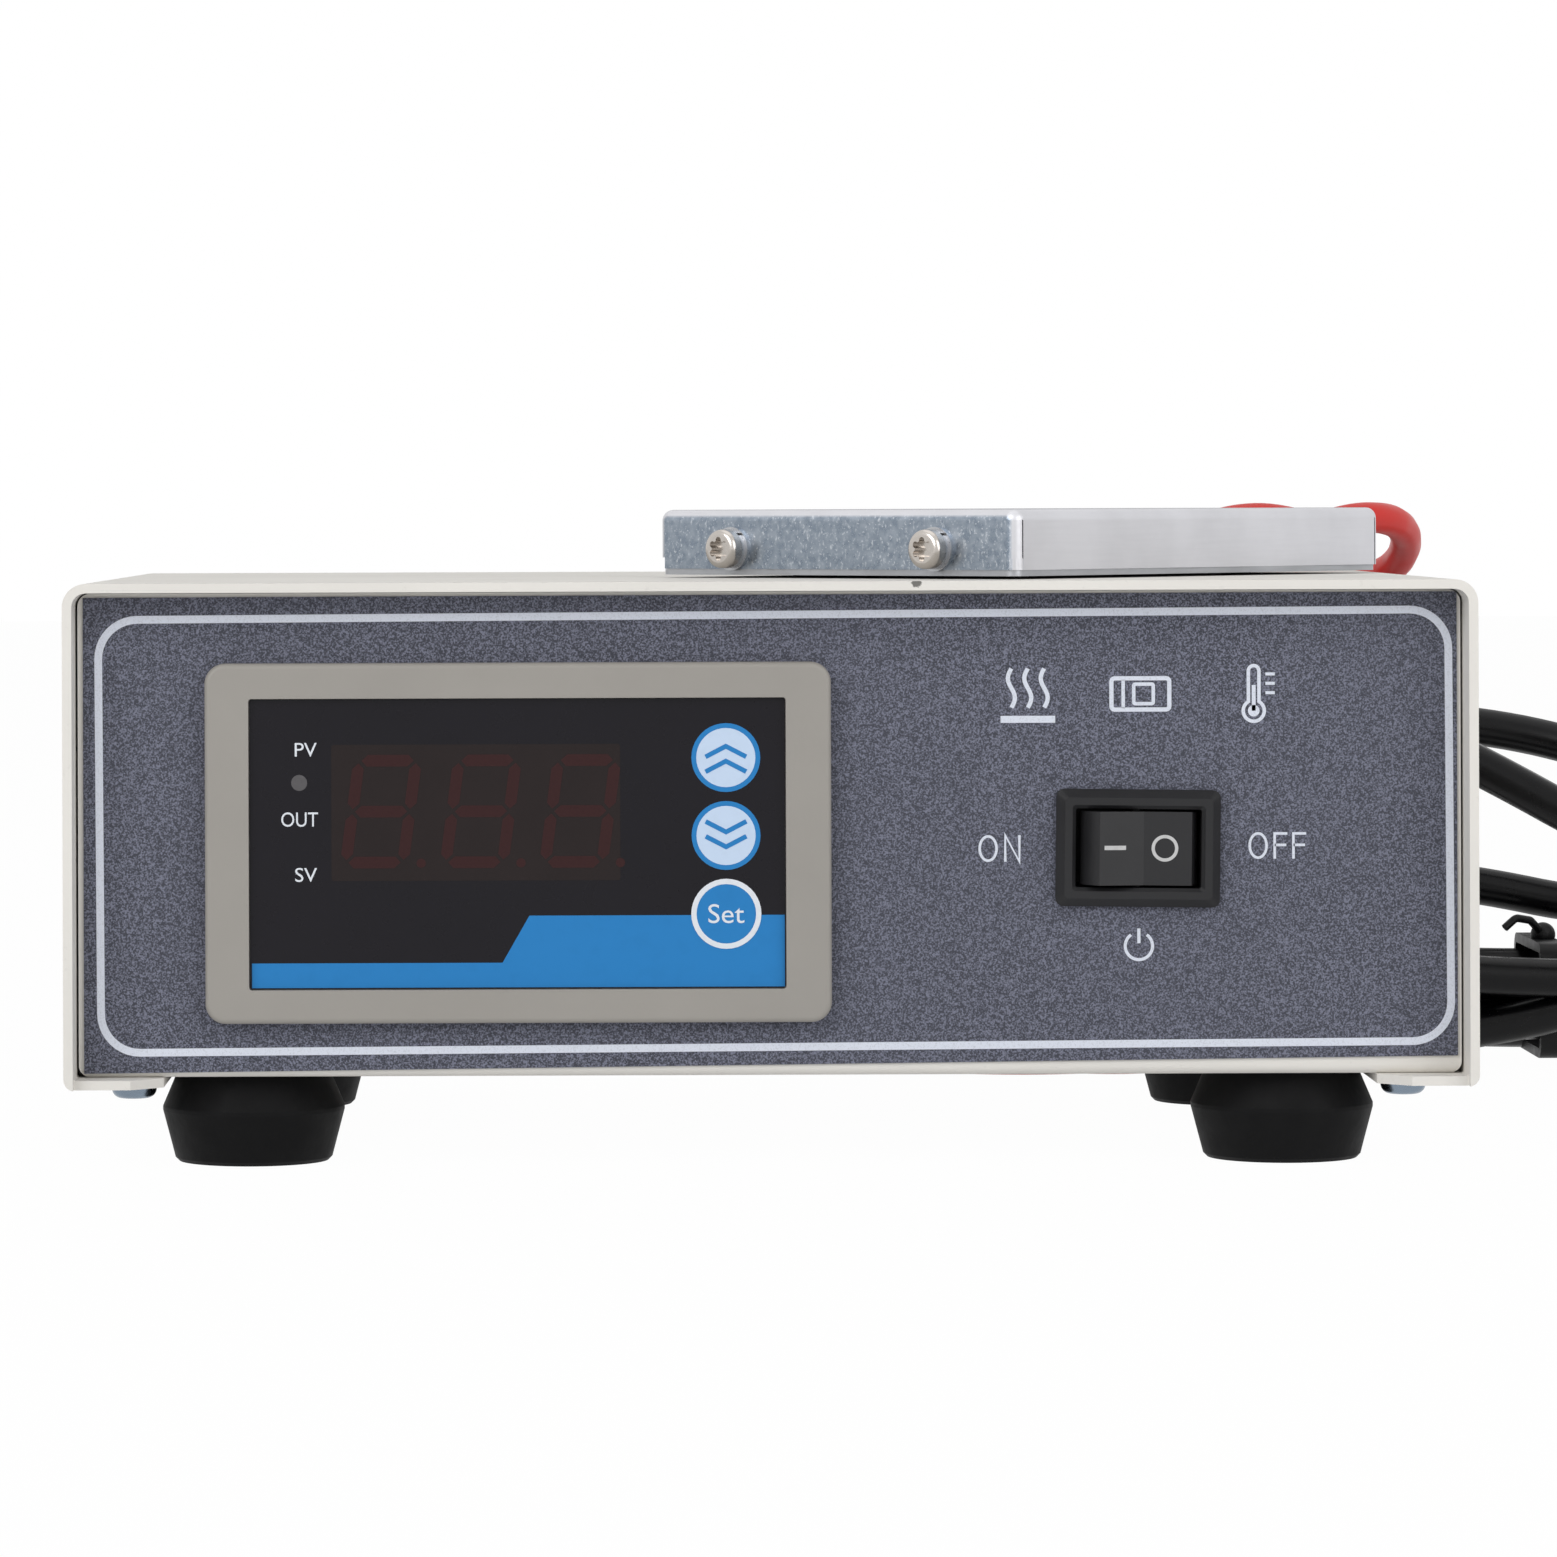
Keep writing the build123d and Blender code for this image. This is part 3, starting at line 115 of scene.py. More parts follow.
# Each turn of the coil: its radius and height
LEAD_COIL_CENTRE = (44.0, 100.0)
LEAD_COIL_TURNS = [(27.3, 7.2), (27.3, 2.5), (22.8, 2.5), (22.9, 7.2)]
MAINS_ROUTE = [
    (66.0, 86.6, 49.5),
    (66.0, 103.0, 50.2),
    (73.5, 119.5, 51.0),
    (88.5, 130.5, 51.3),
    (107.0, 134.0, 50.9),
    (126.0, 132.0, 48.3),
    (143.0, 124.5, 42.5),
    (151.5, 112.5, 33.5),
    (149.0, 101.0, 23.5),
    (138.5, 96.0, 15.5),
]
MAINS_END_ROUTE = [
    (98.5, 97.2, 13.4),
    (85.5, 97.0, 19.5),
    (75.0, 104.7, 23.6),
    (71.0, 117.0, 25.6),
    (75.0, 129.3, 26.4),
    (85.5, 137.0, 26.6),
    (101.0, 139.4, 26.2),
    (116.0, 138.0, 24.8),
    (134.0, 136.5, 21.0),
    (152.0, 131.0, 21.6),
    (166.0, 119.5, 22.6),
    (170.5, 102.5, 24.0),
    (162.0, 87.5, 26.0),
    (146.0, 81.0, 29.0),
    (129.0, 82.5, 34.8),
    (111.5, 87.0, 44.8),
    (94.0, 93.0, 53.5),
    (76.0, 99.5, 58.6),
    (57.0, 105.0, 58.4),
    (39.0, 109.5, 52.0),
    (23.0, 112.5, 41.0),
    (9.0, 113.5, 28.5),
    (-4.5, 113.0, 16.5),
    (-19.0, 111.5, 9.2),
    (-34.0, 110.5, 9.2),
]
HANK_ENTRY = [(128.5, 99.5, 8.0)]
HANK_CENTRE = (123.5, 118.0)
HANK_LOBE_X = 27.0
LEFT_FOLD, RIGHT_FOLD = (285, 235, 180, 125, 75), (105, 55, 0, -55, -105)
# Each turn of the hank: its fold radius, height and half width at the tie
HANK_TURNS = [(17.0, 3.1, 4.0), (21.8, 5.9, 9.6), (17.5, 9.2, 4.5), (21.6, 12.2, 9.2)]

# Frame of the photo: the lens shift that puts the object where it is there
LENS_SHIFT = (0.1179, -0.1766)
# Share of white on the floor where the camera looks; the rest shows the shadow
FLOOR_GLOW = 0.98


def srgb(red, green, blue):
    """A colour given in 0 to 255 screen values, as linear red, green, blue and alpha."""
    channels = []
    for value in (red, green, blue):
        value = value / 255
        channels.append(value / 12.92 if value <= 0.04045 else ((value + 0.055) / 1.055) ** 2.4)
    return (*channels, 1.0)


def shade(colour, factor):
    """The colour made lighter or darker."""
    return (*[min(1.0, channel * factor) for channel in colour[:3]], 1.0)


# Materials


class Finish:
    """A material's node tree, with the few calls that the finishes share."""

    def __init__(self, name, colour, roughness=0.5, metallic=0.0, shine=0.5):
        self.material = bpy.data.materials.new(name)
        self.material.use_nodes = True
        self.tree = self.material.node_tree
        self.shader = self.tree.nodes["Principled BSDF"]
        self.shader.inputs["Base Color"].default_value = colour
        self.shader.inputs["Roughness"].default_value = roughness
        self.shader.inputs["Metallic"].default_value = metallic
        self.shader.inputs["Specular IOR Level"].default_value = shine
        self.material.diffuse_color = colour
        self.coordinate = self.node("ShaderNodeTexCoord").outputs["Object"]

    def node(self, kind, **inputs):
        made = self.tree.nodes.new(kind)
        for name, value in inputs.items():
            self.feed(made.inputs[name.replace("_", " ")], value)
        return made

    def feed(self, socket, value):
        if isinstance(value, bpy.types.NodeSocket):
            self.tree.links.new(value, socket)
        else:
            socket.default_value = value

    def spot(self, stretch=(1, 1, 1), turn=0.0):
        """Object coordinates in metres, turned about Z and stretched."""
        turned = self.node("ShaderNodeMapping", Vector=self.coordinate)
        turned.inputs["Rotation"].default_value = (0, 0, -math.radians(turn))
        scaled = self.node("ShaderNodeMapping", Vector=turned.outputs["Vector"])
        scaled.inputs["Scale"].default_value = stretch
        return scaled.outputs["Vector"]

    def noise(self, size_mm, detail=3.0, stretch=(1, 1, 1), turn=0.0):
        """Noise whose features are about size_mm across, from 0 to 1."""
        made = self.node(
            "ShaderNodeTexNoise",
            Vector=self.spot(stretch, turn),
            Scale=1 / (size_mm * MM),
            Detail=detail,
        )
        return made.outputs["Fac"]

    def spread(self, value, low, high, to_low=0.0, to_high=1.0):
        made = self.node("ShaderNodeMapRange", Value=value)
        made.inputs["From Min"].default_value = low
        made.inputs["From Max"].default_value = high
        made.inputs["To Min"].default_value = to_low
        made.inputs["To Max"].default_value = to_high
        return made.outputs["Result"]

    def math(self, operation, first, second=0.0):
        made = self.node("ShaderNodeMath")
        made.operation = operation
        self.feed(made.inputs[0], first)
        self.feed(made.inputs[1], second)
        return made.outputs[0]

    def mix(self, amount, first, second):
        """One number or another, or a share of each."""
        made = self.node("ShaderNodeMix", Factor=amount)
        self.feed(made.inputs[2], first)
        self.feed(made.inputs[3], second)
        return made.outputs[0]

    def blend(self, amount, first, second):
        """One colour or another, or a share of each."""
        made = self.node("ShaderNodeMix")
        made.data_type = "RGBA"
        self.feed(made.inputs["Factor"], amount)
        self.feed(made.inputs[6], first)
        self.feed(made.inputs[7], second)
        return made.outputs[2]

    def colour(self, socket):
        self.feed(self.shader.inputs["Base Color"], socket)

    def roughness(self, socket):
        self.feed(self.shader.inputs["Roughness"], socket)

    def relief(self, height, depth_mm, strength=1.0):
        """Bump of a real depth, added to any that is there."""
        made = self.node("ShaderNodeBump", Height=height, Strength=strength)
        made.inputs["Distance"].default_value = depth_mm * MM
        normal = self.shader.inputs["Normal"]
        if normal.is_linked:
            self.feed(made.inputs["Normal"], normal.links[0].from_socket)
        self.feed(normal, made.outputs["Normal"])


def moulded(name, colour, roughness, grain_mm=0.5, grain_depth=0.02, cloud=0.08, shine=0.5):
    """Moulded plastic or rubber: a fine grain, with soft changes of tone and sheen."""
    look = Finish(name, colour, roughness, shine=shine)
    tone = look.spread(look.noise(14.0, 4.0), 0.3, 0.7)
    look.colour(look.blend(tone, shade(colour, 1 - cloud), shade(colour, 1 + cloud)))
    sheen = look.noise(3.0, 5.0)
    look.roughness(look.spread(sheen, 0.3, 0.7, roughness - 0.06, roughness + 0.06))
    look.relief(look.noise(grain_mm, 3.0), grain_depth, 0.6)
    return look.material


def bright_metal(name, colour, roughness, grain=(1, 1, 1), grain_mm=0.3, turn=0.0, depth=0.01):
    """Bare or plated metal with a drawn grain and faint dulling."""
    look = Finish(name, colour, roughness, 1.0)
    dull = look.spread(look.noise(6.0, 4.0), 0.3, 0.7)
    look.colour(look.blend(dull, shade(colour, 0.9), shade(colour, 1.06)))
    lines = look.noise(grain_mm, 4.0, grain, turn)
    look.roughness(look.spread(lines, 0.3, 0.7, roughness * 0.8, roughness * 1.3))
    look.relief(lines, depth, 0.5)
    return look.material


def cover_enamel(colour, nicked):
    """Cream baked enamel: slight orange peel, and one chip on the top's front edge."""
    look = Finish("cover_enamel" if nicked else "chassis_enamel", colour, 0.55, shine=0.25)
    tone = look.spread(look.noise(30.0, 3.0), 0.35, 0.65)
    paint = look.blend(tone, shade(colour, 0.975), shade(colour, 1.015))
    fleck = look.spread(look.noise(0.9, 2.0), 0.66, 0.72)
    paint = look.blend(look.math("MULTIPLY", fleck, 0.10), paint, shade(colour, 0.6))
    if nicked:
        away = look.node("ShaderNodeVectorMath", Vector=look.coordinate)
        away.operation = "DISTANCE"
        away.inputs[1].default_value = [value * MM for value in CHIP_PLACE]
        ragged = look.math("MULTIPLY", look.noise(0.5, 2.0), 0.9 * MM)
        edge = look.math("ADD", away.outputs["Value"], ragged)
        chip = look.spread(edge, 0.95 * MM, 1.15 * MM, 1.0, 0.0)
        paint = look.blend(chip, paint, srgb(120, 118, 114))
    look.colour(paint)
    look.roughness(look.spread(look.noise(8.0, 4.0), 0.3, 0.7, 0.5, 0.6))
    look.relief(look.noise(1.3, 2.0), 0.02, 0.35)
    return look.material


def label_plastic(colour):
    """The panel's fine-grained printed plastic."""
    look = Finish("label_plastic", colour, 0.55, shine=0.25)
    grain = look.spread(look.noise(0.2, 1.0), 0.42, 0.66)
    paint = look.blend(grain, shade(colour, 0.56), shade(colour, 2.4))
    tone = look.spread(look.noise(45.0, 2.0), 0.35, 0.65, 0.0, 0.12)
    look.colour(look.blend(tone, paint, shade(colour, 1.35)))
    look.roughness(look.spread(look.noise(0.6, 2.0), 0.3, 0.7, 0.48, 0.62))
    look.relief(look.noise(0.35, 2.0), 0.03, 0.5)
    return look.material


def worn_print(name, colour, wear=0.35, grain_mm=0.35):
    """Screen-printed ink, thinner in specks."""
    look = Finish(name, colour, 0.5, shine=0.25)
    specks = look.spread(look.noise(grain_mm, 3.0), 0.5, 0.72)
    amount = look.math("MULTIPLY", specks, wear)
    look.colour(look.blend(amount, colour, shade(colour, 0.45)))
    look.roughness(look.spread(specks, 0, 1, 0.42, 0.6))
    return look.material


def stage_aluminium(colour):
    """Folded aluminium: bluish, brushed sides, scuffed ends with painted reflection, a matt top with
    painted shade.
    """
    look = Finish("stage_aluminium", colour, 0.4, 1.0)
    outward = look.node("ShaderNodeTexCoord").outputs["Normal"]
    facing = look.node("ShaderNodeVectorMath", Vector=outward)
    facing.operation = "DOT_PRODUCT"
    angle = math.radians(STAGE_TURN)
    facing.inputs[1].default_value = (math.cos(angle), math.sin(angle), 0)
    end = look.spread(look.math("ABSOLUTE", facing.outputs["Value"]), 0.86, 0.97)
    flow = look.noise(0.5, 4.0, (0.05, 1, 1), STAGE_TURN)
    smudge = look.spread(look.noise(9.0, 4.0), 0.35, 0.65)
    side_colour = look.blend(smudge, shade(colour, 0.96), shade(colour, 1.03))
    patch = look.spread(look.noise(1.1, 5.0), 0.38, 0.66)
    upright = look.spread(look.noise(0.4, 3.0, (1, 1, 0.5)), 0.6, 0.72)
    fleck = look.spread(look.noise(0.35, 2.0), 0.62, 0.7)
    # Painted reflection: the polished ends get a darker blue-grey than the sides; the scratch marks
    # blended in next are real wear.
    end_reflection_and_scuffs = look.blend(patch, srgb(130, 141, 154), srgb(153, 162, 173))
    marks = look.math("MULTIPLY", look.math("MAXIMUM", upright, fleck), 0.55)
    end_reflection_and_scuffs = look.blend(marks, end_reflection_and_scuffs, srgb(222, 227, 233))
    parts = look.node("ShaderNodeSeparateXYZ", Vector=outward)
    upward = look.spread(parts.outputs["Z"], 0.93, 0.99)
    faces = look.blend(end, side_colour, end_reflection_and_scuffs)
    # Painted shade: the top-facing faces are coloured at 0.6 of the metal; their higher roughness is
    # the real matt finish.
    look.colour(look.blend(upward, faces, shade(colour, 0.6)))
    brushed = look.spread(flow, 0.3, 0.7, 0.42, 0.54)
    sides = look.mix(end, brushed, look.spread(patch, 0, 1, 0.26, 0.36))
    look.roughness(look.mix(upward, sides, look.spread(smudge, 0, 1, 0.6, 0.68)))
    look.relief(flow, 0.01, 0.35)
    look.relief(look.math("MULTIPLY", marks, end), 0.02, 0.4)
    return look.material


def lead_silicone(colour):
    """Red silicone sleeve with a soft sheen."""
    material = moulded("lead_silicone", colour, 0.42, 0.6, 0.02, 0.06)
    inputs = material.node_tree.nodes["Principled BSDF"].inputs
    inputs["Subsurface Weight"].default_value = 0.12
    inputs["Subsurface Radius"].default_value = (0.004, 0.001, 0.0008)
    inputs["Subsurface Scale"].default_value = 0.5
    return material


def laminated(name, colour, sheet_mm=0.5):
    """Stacked core sheets, seen as fine lines."""
    look = Finish(name, colour, 0.5, 0.6)
    sheets = look.noise(sheet_mm, 1.0, (0.02, 1, 0.02))
    look.colour(look.blend(look.spread(sheets, 0.4, 0.6), shade(colour, 0.6), shade(colour, 1.3)))
    look.relief(sheets, 0.08, 0.6)
    return look.material


def wound_tape(name, colour):
    """Yellow winding tape with overlapped edges."""
    look = Finish(name, colour, 0.4)
    bands = look.noise(5.0, 1.0, (0.05, 0.05, 1))
    look.colour(look.blend(look.spread(bands, 0.4, 0.6), shade(colour, 0.85), shade(colour, 1.1)))
    look.relief(bands, 0.15, 0.6)
    return look.material


def display_window(colour):
    """Tinted filter over the digits."""
    look = Finish("display_window", colour, 0.2, shine=0.2)
    tone = look.spread(look.noise(6.0, 3.0), 0.35, 0.65)
    look.colour(look.blend(tone, shade(colour, 0.94), shade(colour, 1.06)))
    look.relief(look.noise(4.0, 2.0), 0.01, 0.2)
    return look.material


def dress(material, *nodes):
    """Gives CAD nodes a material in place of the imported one."""
    for name in nodes:
        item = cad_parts[name]
        item.data.materials.clear()
        item.data.materials.append(material)


# Meshes and curves


def add_piece(name, data, body):
    """A new piece in the scene that rides on a body."""
    piece = bpy.data.objects.new(name, data)
    bpy.context.scene.collection.objects.link(piece)
    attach(piece, body)
    return piece


def add_mesh(name, vertices, faces, material, body):
    """A new piece from points in metres that rides on a body."""
    mesh = bpy.data.meshes.new(name)
    mesh.from_pydata(vertices, [], faces)
    mesh.update()
    mesh.materials.append(material)
    return add_piece(name, mesh, body)


def ribbon(points, width, closed=False):
    """A flat stroke along 2-D points, mitred at its corners, as quads."""
    count = len(points)
    sides = []
    for index, here in enumerate(points):
        before = points[index - 1] if closed or index else here
        after = points[(index + 1) % count] if closed or index < count - 1 else here
        into = Vector(here) - Vector(before)
        out = Vector(after) - Vector(here)
        into = (into if into.length else out).normalized()
        out = (out if out.length else into).normalized()
        normal = Vector((-into.y - out.y, into.x + out.x))
        if normal.length < 1e-6:
            normal = Vector((-into.y, into.x))
        normal.normalize()
        cosine = max(0.4, normal.dot(Vector((-into.y, into.x))))
        offset = normal * (width / 2 / cosine)
        sides.append((Vector(here) + offset, Vector(here) - offset))
    quads = []
    for index in range(count if closed else count - 1):
        left, right = sides[index]
        left_next, right_next = sides[(index + 1) % count]
        quads.append([tuple(left), tuple(right), tuple(right_next), tuple(left_next)])
    return quads


def circle(x, z, radius, count=40, start=0.0, sweep=360.0):
    """Points round a circle, or along an arc of it."""
    steps = count if sweep == 360.0 else count + 1
    angles = [math.radians(start + sweep * index / count) for index in range(steps)]
    return [(x + radius * math.cos(angle), z + radius * math.sin(angle)) for angle in angles]


def rounded_box(x, z, width, height, radius, count=8):
    """Points round a rectangle with rounded corners."""
    points = []
    for right, top, start in ((1, 1, 0), (-1, 1, 90), (-1, -1, 180), (1, -1, 270)):
        corner_x = x + right * (width / 2 - radius)
        corner_z = z + top * (height / 2 - radius)
        points += circle(corner_x, corner_z, radius, count, start, 90.0)
    return points


def slanted(points, corners):
    """Points of a unit square moved into a four-cornered shape that isn't quite square."""
    low_left, low_right, high_right, high_left = [Vector(corner) for corner in corners]
    moved = []
    for across, up in points:
        low = low_left.lerp(low_right, across)
        high = high_left.lerp(high_right, across)
        moved.append(tuple(low.lerp(high, up)))
    return moved


def add_print(name, shapes, y, material, body=BODY, place=Matrix.Identity(4)):
    """Flat inked shapes on a plane that faces the front, each a loop of (x, z) in millimetres."""
    vertices, faces = [], []
    for shape in shapes:
        area = sum(
            first[0] * second[1] - second[0] * first[1]
            for first, second in zip(shape, shape[1:] + shape[:1])
        )
        loop = shape if area > 0 else shape[::-1]
        faces.append(list(range(len(vertices), len(vertices) + len(loop))))
        vertices += [place @ Vector((x * MM, y * MM, z * MM)) for x, z in loop]
    return add_mesh(name, vertices, faces, material, body)


def lettering(word, x0, x1, z0, z1):
    """A word in the built-in typeface, fitted between x0, x1, z0 and z1, as filled loops."""
    text = bpy.data.curves.new("lettering", "FONT")
    text.body = word
    text.resolution_u = 4
    carrier = bpy.data.objects.new("lettering", text)
    mesh = bpy.data.meshes.new_from_object(carrier)
    points = [vertex.co.copy() for vertex in mesh.vertices]
    low_x, high_x = min(p.x for p in points), max(p.x for p in points)
    low_y, high_y = min(p.y for p in points), max(p.y for p in points)
    loops = []
    for face in mesh.polygons:
        loop = []
        for index in face.vertices:
            point = points[index]
            across = (point.x - low_x) / (high_x - low_x)
            up = (point.y - low_y) / (high_y - low_y)
            loop.append((x0 + across * (x1 - x0), z0 + up * (z1 - z0)))
        loops.append(loop)
    bpy.data.meshes.remove(mesh)
    bpy.data.objects.remove(carrier)
    bpy.data.curves.remove(text)
    return loops


def add_cord(name, points, diameter, material):
    """A round cord along one open NURBS spline, from points in millimetres."""
    curve = bpy.data.curves.new(name, "CURVE")
    curve.dimensions = "3D"
    curve.bevel_depth = diameter * MM / 2
    curve.bevel_resolution = 5
    curve.resolution_u = 8
    curve.use_fill_caps = True
    spline = curve.splines.new("NURBS")
    spline.points.add(len(points) - 1)
    for target, point in zip(spline.points, points):
        target.co = (*[value * MM for value in point], 1.0)
    spline.order_u = 3
    spline.use_endpoint_u = True
    curve.materials.append(material)
    return add_piece(name, curve, BODY)


def switch_seat():
    """The switch's own frame: its centre on the label's face."""
    return (
        Matrix.Translation((SWITCH_X * MM, LABEL_Y * MM, SWITCH_Z * MM))
        @ Matrix.Rotation(math.radians(SWITCH_TURN), 4, "Y")
    )


def settings():
    """The user's choices for the finishes."""
    return bpy.context.scene.slide_warmer


# What a user would change


def colour_property(name, description, default):
    return bpy.props.FloatVectorProperty(
        name=name, description=description, subtype="COLOR", size=4, min=0, max=1, default=default
    )


def length_property(name, description, low, high, default):
    return bpy.props.FloatProperty(
        name=name,
        description=description,
        unit="LENGTH",
        min=low,
        max=high,
        precision=5,
        default=default,
    )


def power_property(name, description, default):
    return bpy.props.FloatProperty(
        name=name, description=description, unit="POWER", min=0.0, max=500.0, default=default
    )


class SlideWarmerSettings(bpy.types.PropertyGroup):
    """Colours and sizes of the slide warmer's finishes."""

    cover_colour: colour_property(
        "Cover enamel", "Colour of the cover's and the chassis's baked enamel", srgb(238, 235, 229)
    )
    label_colour: colour_property(
        "Panel label", "Ground colour of the printed front label", srgb(84, 86, 98)
    )
    ink_colour: colour_property(
        "Label ink", "Colour of the border line and the marks on the label", srgb(226, 231, 243)
    )
    bezel_colour: colour_property(
        "Controller bezel", "Colour of the controller's moulded front frame", srgb(158, 154, 148)
    )
    band_colour: colour_property(
        "Controller band", "Colour of the band and the keys on the film", srgb(40, 130, 198)
    )
    lead_colour: colour_property(
        "Stage lead", "Colour of the stage's silicone lead", srgb(214, 42, 34)
    )
    border_width: length_property(
        "Border line", "Width of the label's border line", 0.0002, 0.004, 0.001
    )
    lead_length: length_property(
        "Stage lead length", "Real length of the stage's lead, its coil included", 0.3, 2.0, 0.84
    )
    mains_length: length_property(
        "Mains cord length", "Real length of the mains cord, its hank included", 0.5, 3.0, 1.5
    )


class SlideWarmerStudio(bpy.types.PropertyGroup):
    """Camera and light of the studio."""

    lens: bpy.props.FloatProperty(
        name="Lens",
        description="Focal length of the camera",
        unit="CAMERA",
        min=20,
        max=400,
        default=154.7,
    )
    distance: length_property(
        "Camera distance", "Distance from the camera to the cover's front edge", 0.3, 5.0, 0.85
    )
    height: length_property(
        "Camera height", "Height of the camera above the bench", 0.0, 2.0, 0.0851
    )
    side: length_property(
        "Camera side", "Place of the camera along the front, from the box's middle", -2.0, 2.0, -0.0222
    )
    roll: bpy.props.FloatProperty(
        name="Camera roll",
        description="Turn of the camera about its own line of sight",
        subtype="ANGLE",
        default=math.radians(0.2),
    )
    world_light: bpy.props.FloatProperty(
        name="World light",
        description="Strength of the light from all round",
        subtype="FACTOR",
        min=0.0,
        max=2.0,
        default=0.30,
    )
    key_power: power_property("Key light", "Power of the large light at the front left", 7.7)
    fill_power: power_property("Fill light", "Power of the large light at the front right", 5.0)
    top_power: power_property("Top light", "Power of the large light overhead", 1.6)
    floor_colour: colour_property(
        "Floor", "Colour of the bench and the backdrop", (0.9, 0.9, 0.9, 1.0)
    )


# Pieces


class SLIDEWARMER_OT_studio(bpy.types.Operator):
    """Set up the camera, the soft lights, the white backdrop and the pale bench"""

    bl_idname = "slide_warmer.studio"
    bl_label = "Studio"

    def execute(self, context):
        studio = context.scene.slide_warmer_studio
        self.add_camera(context, studio)
        self.add_light("key_light", studio.key_power, 1.1, (-0.75, -0.95, 0.75))
        self.add_light("fill_light", studio.fill_power, 1.1, (0.85, -0.85, 0.5))
        self.add_light("top_light", studio.top_power, 1.2, (0.0, 0.15, 1.25))
        self.add_world(context, studio.world_light)
        self.add_floor(studio.floor_colour)
        return {"FINISHED"}

    def add_camera(self, context, studio):
        camera = bpy.data.cameras.new("photo_camera")
        camera.sensor_width = 36.0
        camera.lens = studio.lens
        camera.shift_x, camera.shift_y = LENS_SHIFT
        camera.clip_start = 0.01
        carrier = bpy.data.objects.new("photo_camera", camera)
        carrier.location = (studio.side, FRONT_EDGE_Y * MM - studio.distance, studio.height)
        view = Matrix.Rotation(math.radians(90), 3, "X") @ Matrix.Rotation(-studio.roll, 3, "Z")
        carrier.rotation_euler = view.to_euler()
        context.scene.collection.objects.link(carrier)
        context.scene.camera = carrier

    def add_light(self, name, power, size, place):
        light = bpy.data.lights.new(name, "AREA")
        light.shape = "DISK"
        light.size = size
        light.energy = power
        carrier = bpy.data.objects.new(name, light)
        carrier.location = place
        aim = Vector((0.0, 0.0, 0.04)) - Vector(place)
        carrier.rotation_euler = aim.to_track_quat("-Z", "Y").to_euler()
        bpy.context.scene.collection.objects.link(carrier)

    def seen(self, tree):
        """One where the camera, a gloss or a glass looks, else zero."""
        path = tree.nodes.new("ShaderNodeLightPath")
        total = path.outputs["Is Camera Ray"]
        for name in ("Is Glossy Ray", "Is Transmission Ray"):
            highest = tree.nodes.new("ShaderNodeMath")
            highest.operation = "MAXIMUM"
            tree.links.new(total, highest.inputs[0])
            tree.links.new(path.outputs[name], highest.inputs[1])
            total = highest.outputs[0]
        return total

    def add_world(self, context, strength):
        world = bpy.data.worlds.new("studio_world")
        world.use_nodes = True
        tree = world.node_tree
        ground = tree.nodes["Background"]
        ground.inputs["Color"].default_value = (1, 1, 1, 1)
        level = tree.nodes.new("ShaderNodeMapRange")
        tree.links.new(self.seen(tree), level.inputs["Value"])
        level.inputs["To Min"].default_value = strength
        level.inputs["To Max"].default_value = 1.0
        tree.links.new(level.outputs["Result"], ground.inputs["Strength"])
        context.scene.world = world
        context.scene.view_settings.view_transform = "Standard"

    def add_floor(self, colour):
        look = Finish("bench_floor", colour, 0.8)
        tone = look.spread(look.noise(90.0, 3.0), 0.3, 0.7)
        look.colour(look.blend(tone, shade(colour, 0.99), shade(colour, 1.01)))
        tree = look.tree
        glow = tree.nodes.new("ShaderNodeEmission")
        glow.inputs["Color"].default_value = (1, 1, 1, 1)
        mixed = tree.nodes.new("ShaderNodeMixShader")
        part = look.math("MULTIPLY", self.seen(tree), FLOOR_GLOW)
        tree.links.new(part, mixed.inputs["Fac"])
        tree.links.new(look.shader.outputs["BSDF"], mixed.inputs[1])
        tree.links.new(glow.outputs["Emission"], mixed.inputs[2])
        tree.links.new(mixed.outputs["Shader"], tree.nodes["Material Output"].inputs["Surface"])
        mesh = bpy.data.meshes.new("bench_floor")
        reach = 4.0
        corners = [(-reach, -reach, 0), (reach, -reach, 0), (reach, reach, 0), (-reach, reach, 0)]
        mesh.from_pydata(corners, [], [(0, 1, 2, 3)])
        mesh.materials.append(look.material)
        floor = bpy.data.objects.new("bench_floor", mesh)
        bpy.context.scene.collection.objects.link(floor)


class SLIDEWARMER_OT_stage_lead(bpy.types.Operator):
    """Lay the stage's red lead: its loop on the box, its drop behind and its coil on the bench"""

    bl_idname = "slide_warmer.stage_lead"
    bl_label = "Stage Lead"

    def coil(self):
        """Four turns that go round anticlockwise, from the lead's landing to its tail."""
        centre_x, centre_y = LEAD_COIL_CENTRE
        points = []
        start, finish, step = -75, 175 + 360 * 3, 25
        angle = start
        while angle <= finish:
            along = (angle - start) / 360
            turn = min(int(along), 3)
            late = min(1.0, max(0.0, (along - turn - 0.75) / 0.25))
            after = min(turn + 1, 3)
            radius, height = (
                now * (1 - late) + then * late
                for now, then in zip(LEAD_COIL_TURNS[turn], LEAD_COIL_TURNS[after])
            )
            place = math.radians(angle)
            points.append(
                (centre_x + radius * math.cos(place), centre_y + radius * math.sin(place), height)
            )
            angle += step
        return points

    def execute(self, context):
        choice = settings()
        material = lead_silicone(choice.lead_colour)
        points = LEAD_ROUTE + self.coil() + LEAD_TAIL_ROUTE
        lead = add_cord("stage_lead_flex", points, LEAD_DIAMETER, material)
        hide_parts("stage_lead", "stage_lead_coil", "stage_lead_tail")
        return {"FINISHED"}


